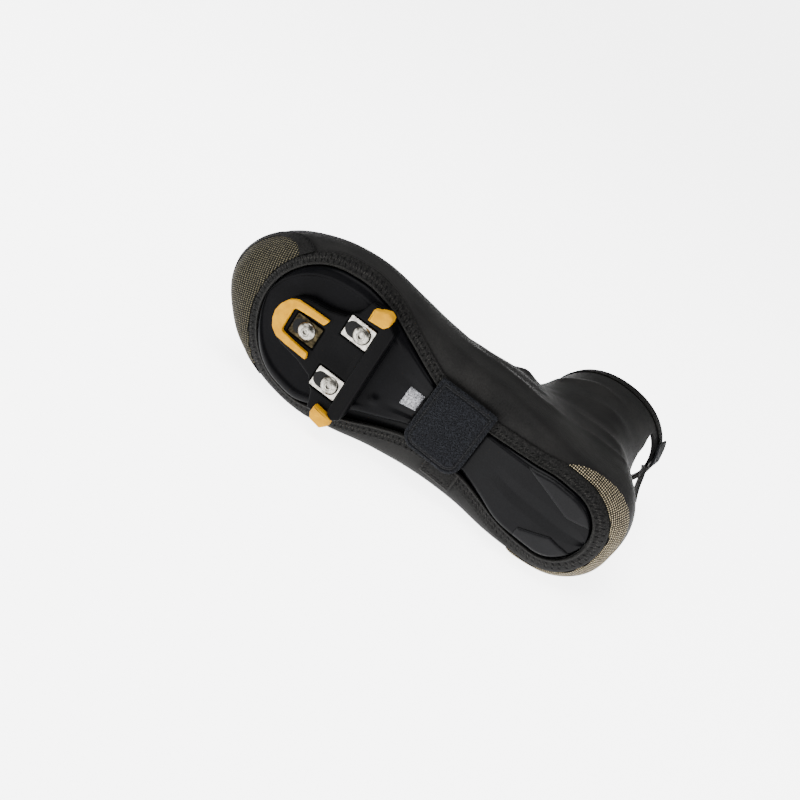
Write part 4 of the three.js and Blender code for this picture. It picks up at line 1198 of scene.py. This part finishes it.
# A turned head: its radius goes in over the rim and down into the socket, which is a hexagon. The profile's
# columns are radius, height above the washer, and share of the hexagon.
def makeBolt(name, u, w):
    top = washerTop + washer["thick"] + cleat["gap"]
    turn = np.linspace(0, 2 * np.pi, 48, endpoint=False)
    hexagon = np.cos(np.pi / 6) / np.cos((turn + np.pi / 6) % (np.pi / 3) - np.pi / 6)
    profile = [(5.3, -0.2, 0), (5.3, 0.3, 0), (5.15, 0.55, 0), (4.7, 0.95, 0), (4.1, 1.35, 0), (3.5, 1.65, 0),
               (2.9, 1.85, 0), (2.6, 1.9, 0), (2.45, 1.6, 0), (2.3, 1.6, 0), (2.2, 1.9, 0), (1.9, 1.95, 0.5),
               (1.6, 1.8, 1), (1.55, 1.2, 1), (1.5, 0.6, 1), (0.01, 0.55, 1)]
    rings = []
    for radius, depth, six in profile:
        r = radius * (1 - six + six * hexagon)
        rings.append(cleatPlace(u + r * np.cos(turn), w + r * np.sin(turn), np.full(len(turn), top + depth)))
    return tube(name, np.stack(rings), False)


for side, (u, w) in boltSpots.items():
    settle(flat(makeBolt("bolt" + side.title(), u, w), 50), boltSteel, "cleat_steel", "bolt_" + side)
print("cleat made")

# Footbed keeps its solid and takes the foam finish
insole = frame["nodes"]["insole"]
insole.data.materials.clear()
insole.data.materials.append(footbed)

# Floor, light and camera
floorMesh = bpy.data.meshes.new("floor")
floorMesh.from_pydata([(-90, -90, 0), (90, -90, 0), (90, 90, 0), (-90, 90, 0)], [], [(0, 1, 2, 3)])
floor = bpy.data.objects.new("floor", floorMesh)
bpy.context.scene.collection.objects.link(floor)
floor.location.z = -0.0005
paper = Finish("paper", Roughness=0.9, Specular_IOR_Level=0.1, Emission_Color=(1, 1, 1),
               Emission_Strength=5.0)
paperMm = paper.millimetres()
paper.set("Base_Color", paper.mix(paper.noise(paperMm, 60.0), (0.90, 0.90, 0.90), (0.94, 0.94, 0.94)))
floor.data.materials.append(paper.material)

world = bpy.data.worlds.new("studio")
bpy.context.scene.world = world
world.use_nodes = True
world.node_tree.nodes["Background"].inputs[0].default_value = (1, 1, 1, 1)
world.node_tree.nodes["Background"].inputs[1].default_value = 0.25


def softbox(name, at, toward, size, power, tint=(1, 1, 1)):
    light = bpy.data.lights.new(name, "AREA")
    light.shape, light.size, light.size_y = "RECTANGLE", size[0], size[1]
    light.energy, light.color = power, tint
    obj = bpy.data.objects.new(name, light)
    obj.location = at
    obj.rotation_euler = (Vector(toward) - Vector(at)).to_track_quat("-Z", "Y").to_euler()
    bpy.context.scene.collection.objects.link(obj)


softbox("overhead", (-0.25, -0.2, 1.3), (0, 0, 0.05), (1.2, 1.0), 34)
softbox("soleSide", (-0.9, -1.3, 0.7), (0, -0.05, 0.05), (1.0, 0.7), 8)
softbox("heelSide", (1.2, -0.7, 0.6), (0.05, 0, 0.05), (0.6, 0.8), 8)

# The photo's camera, fitted to the cleat and the outline: rows are image right, image down and forward
view = {"rows": [[-0.77386, 0.53895, 0.33266], [-0.62344, -0.74078, -0.25013], [0.11162, -0.40096, 0.90927]],
        "at": (58.0, 305.6, -693.7), "focal": 1.7398, "sensor": 36}
right, down, forward = (shoeTurn @ np.array(r) for r in view["rows"])
camera = bpy.data.objects.new("camera", bpy.data.cameras.new("camera"))
camera.data.sensor_width = view["sensor"]
camera.data.lens = view["sensor"] * view["focal"]
pose = Matrix.Identity(4)
for k, axis in enumerate((right, -down, -forward)):
    for i in range(3):
        pose[i][k] = axis[i]
for i, value in enumerate(toRow(np.array(view["at"]))):
    pose[i][3] = value
camera.matrix_world = pose
bpy.context.scene.collection.objects.link(camera)
bpy.context.scene.camera = camera
print("camera set")
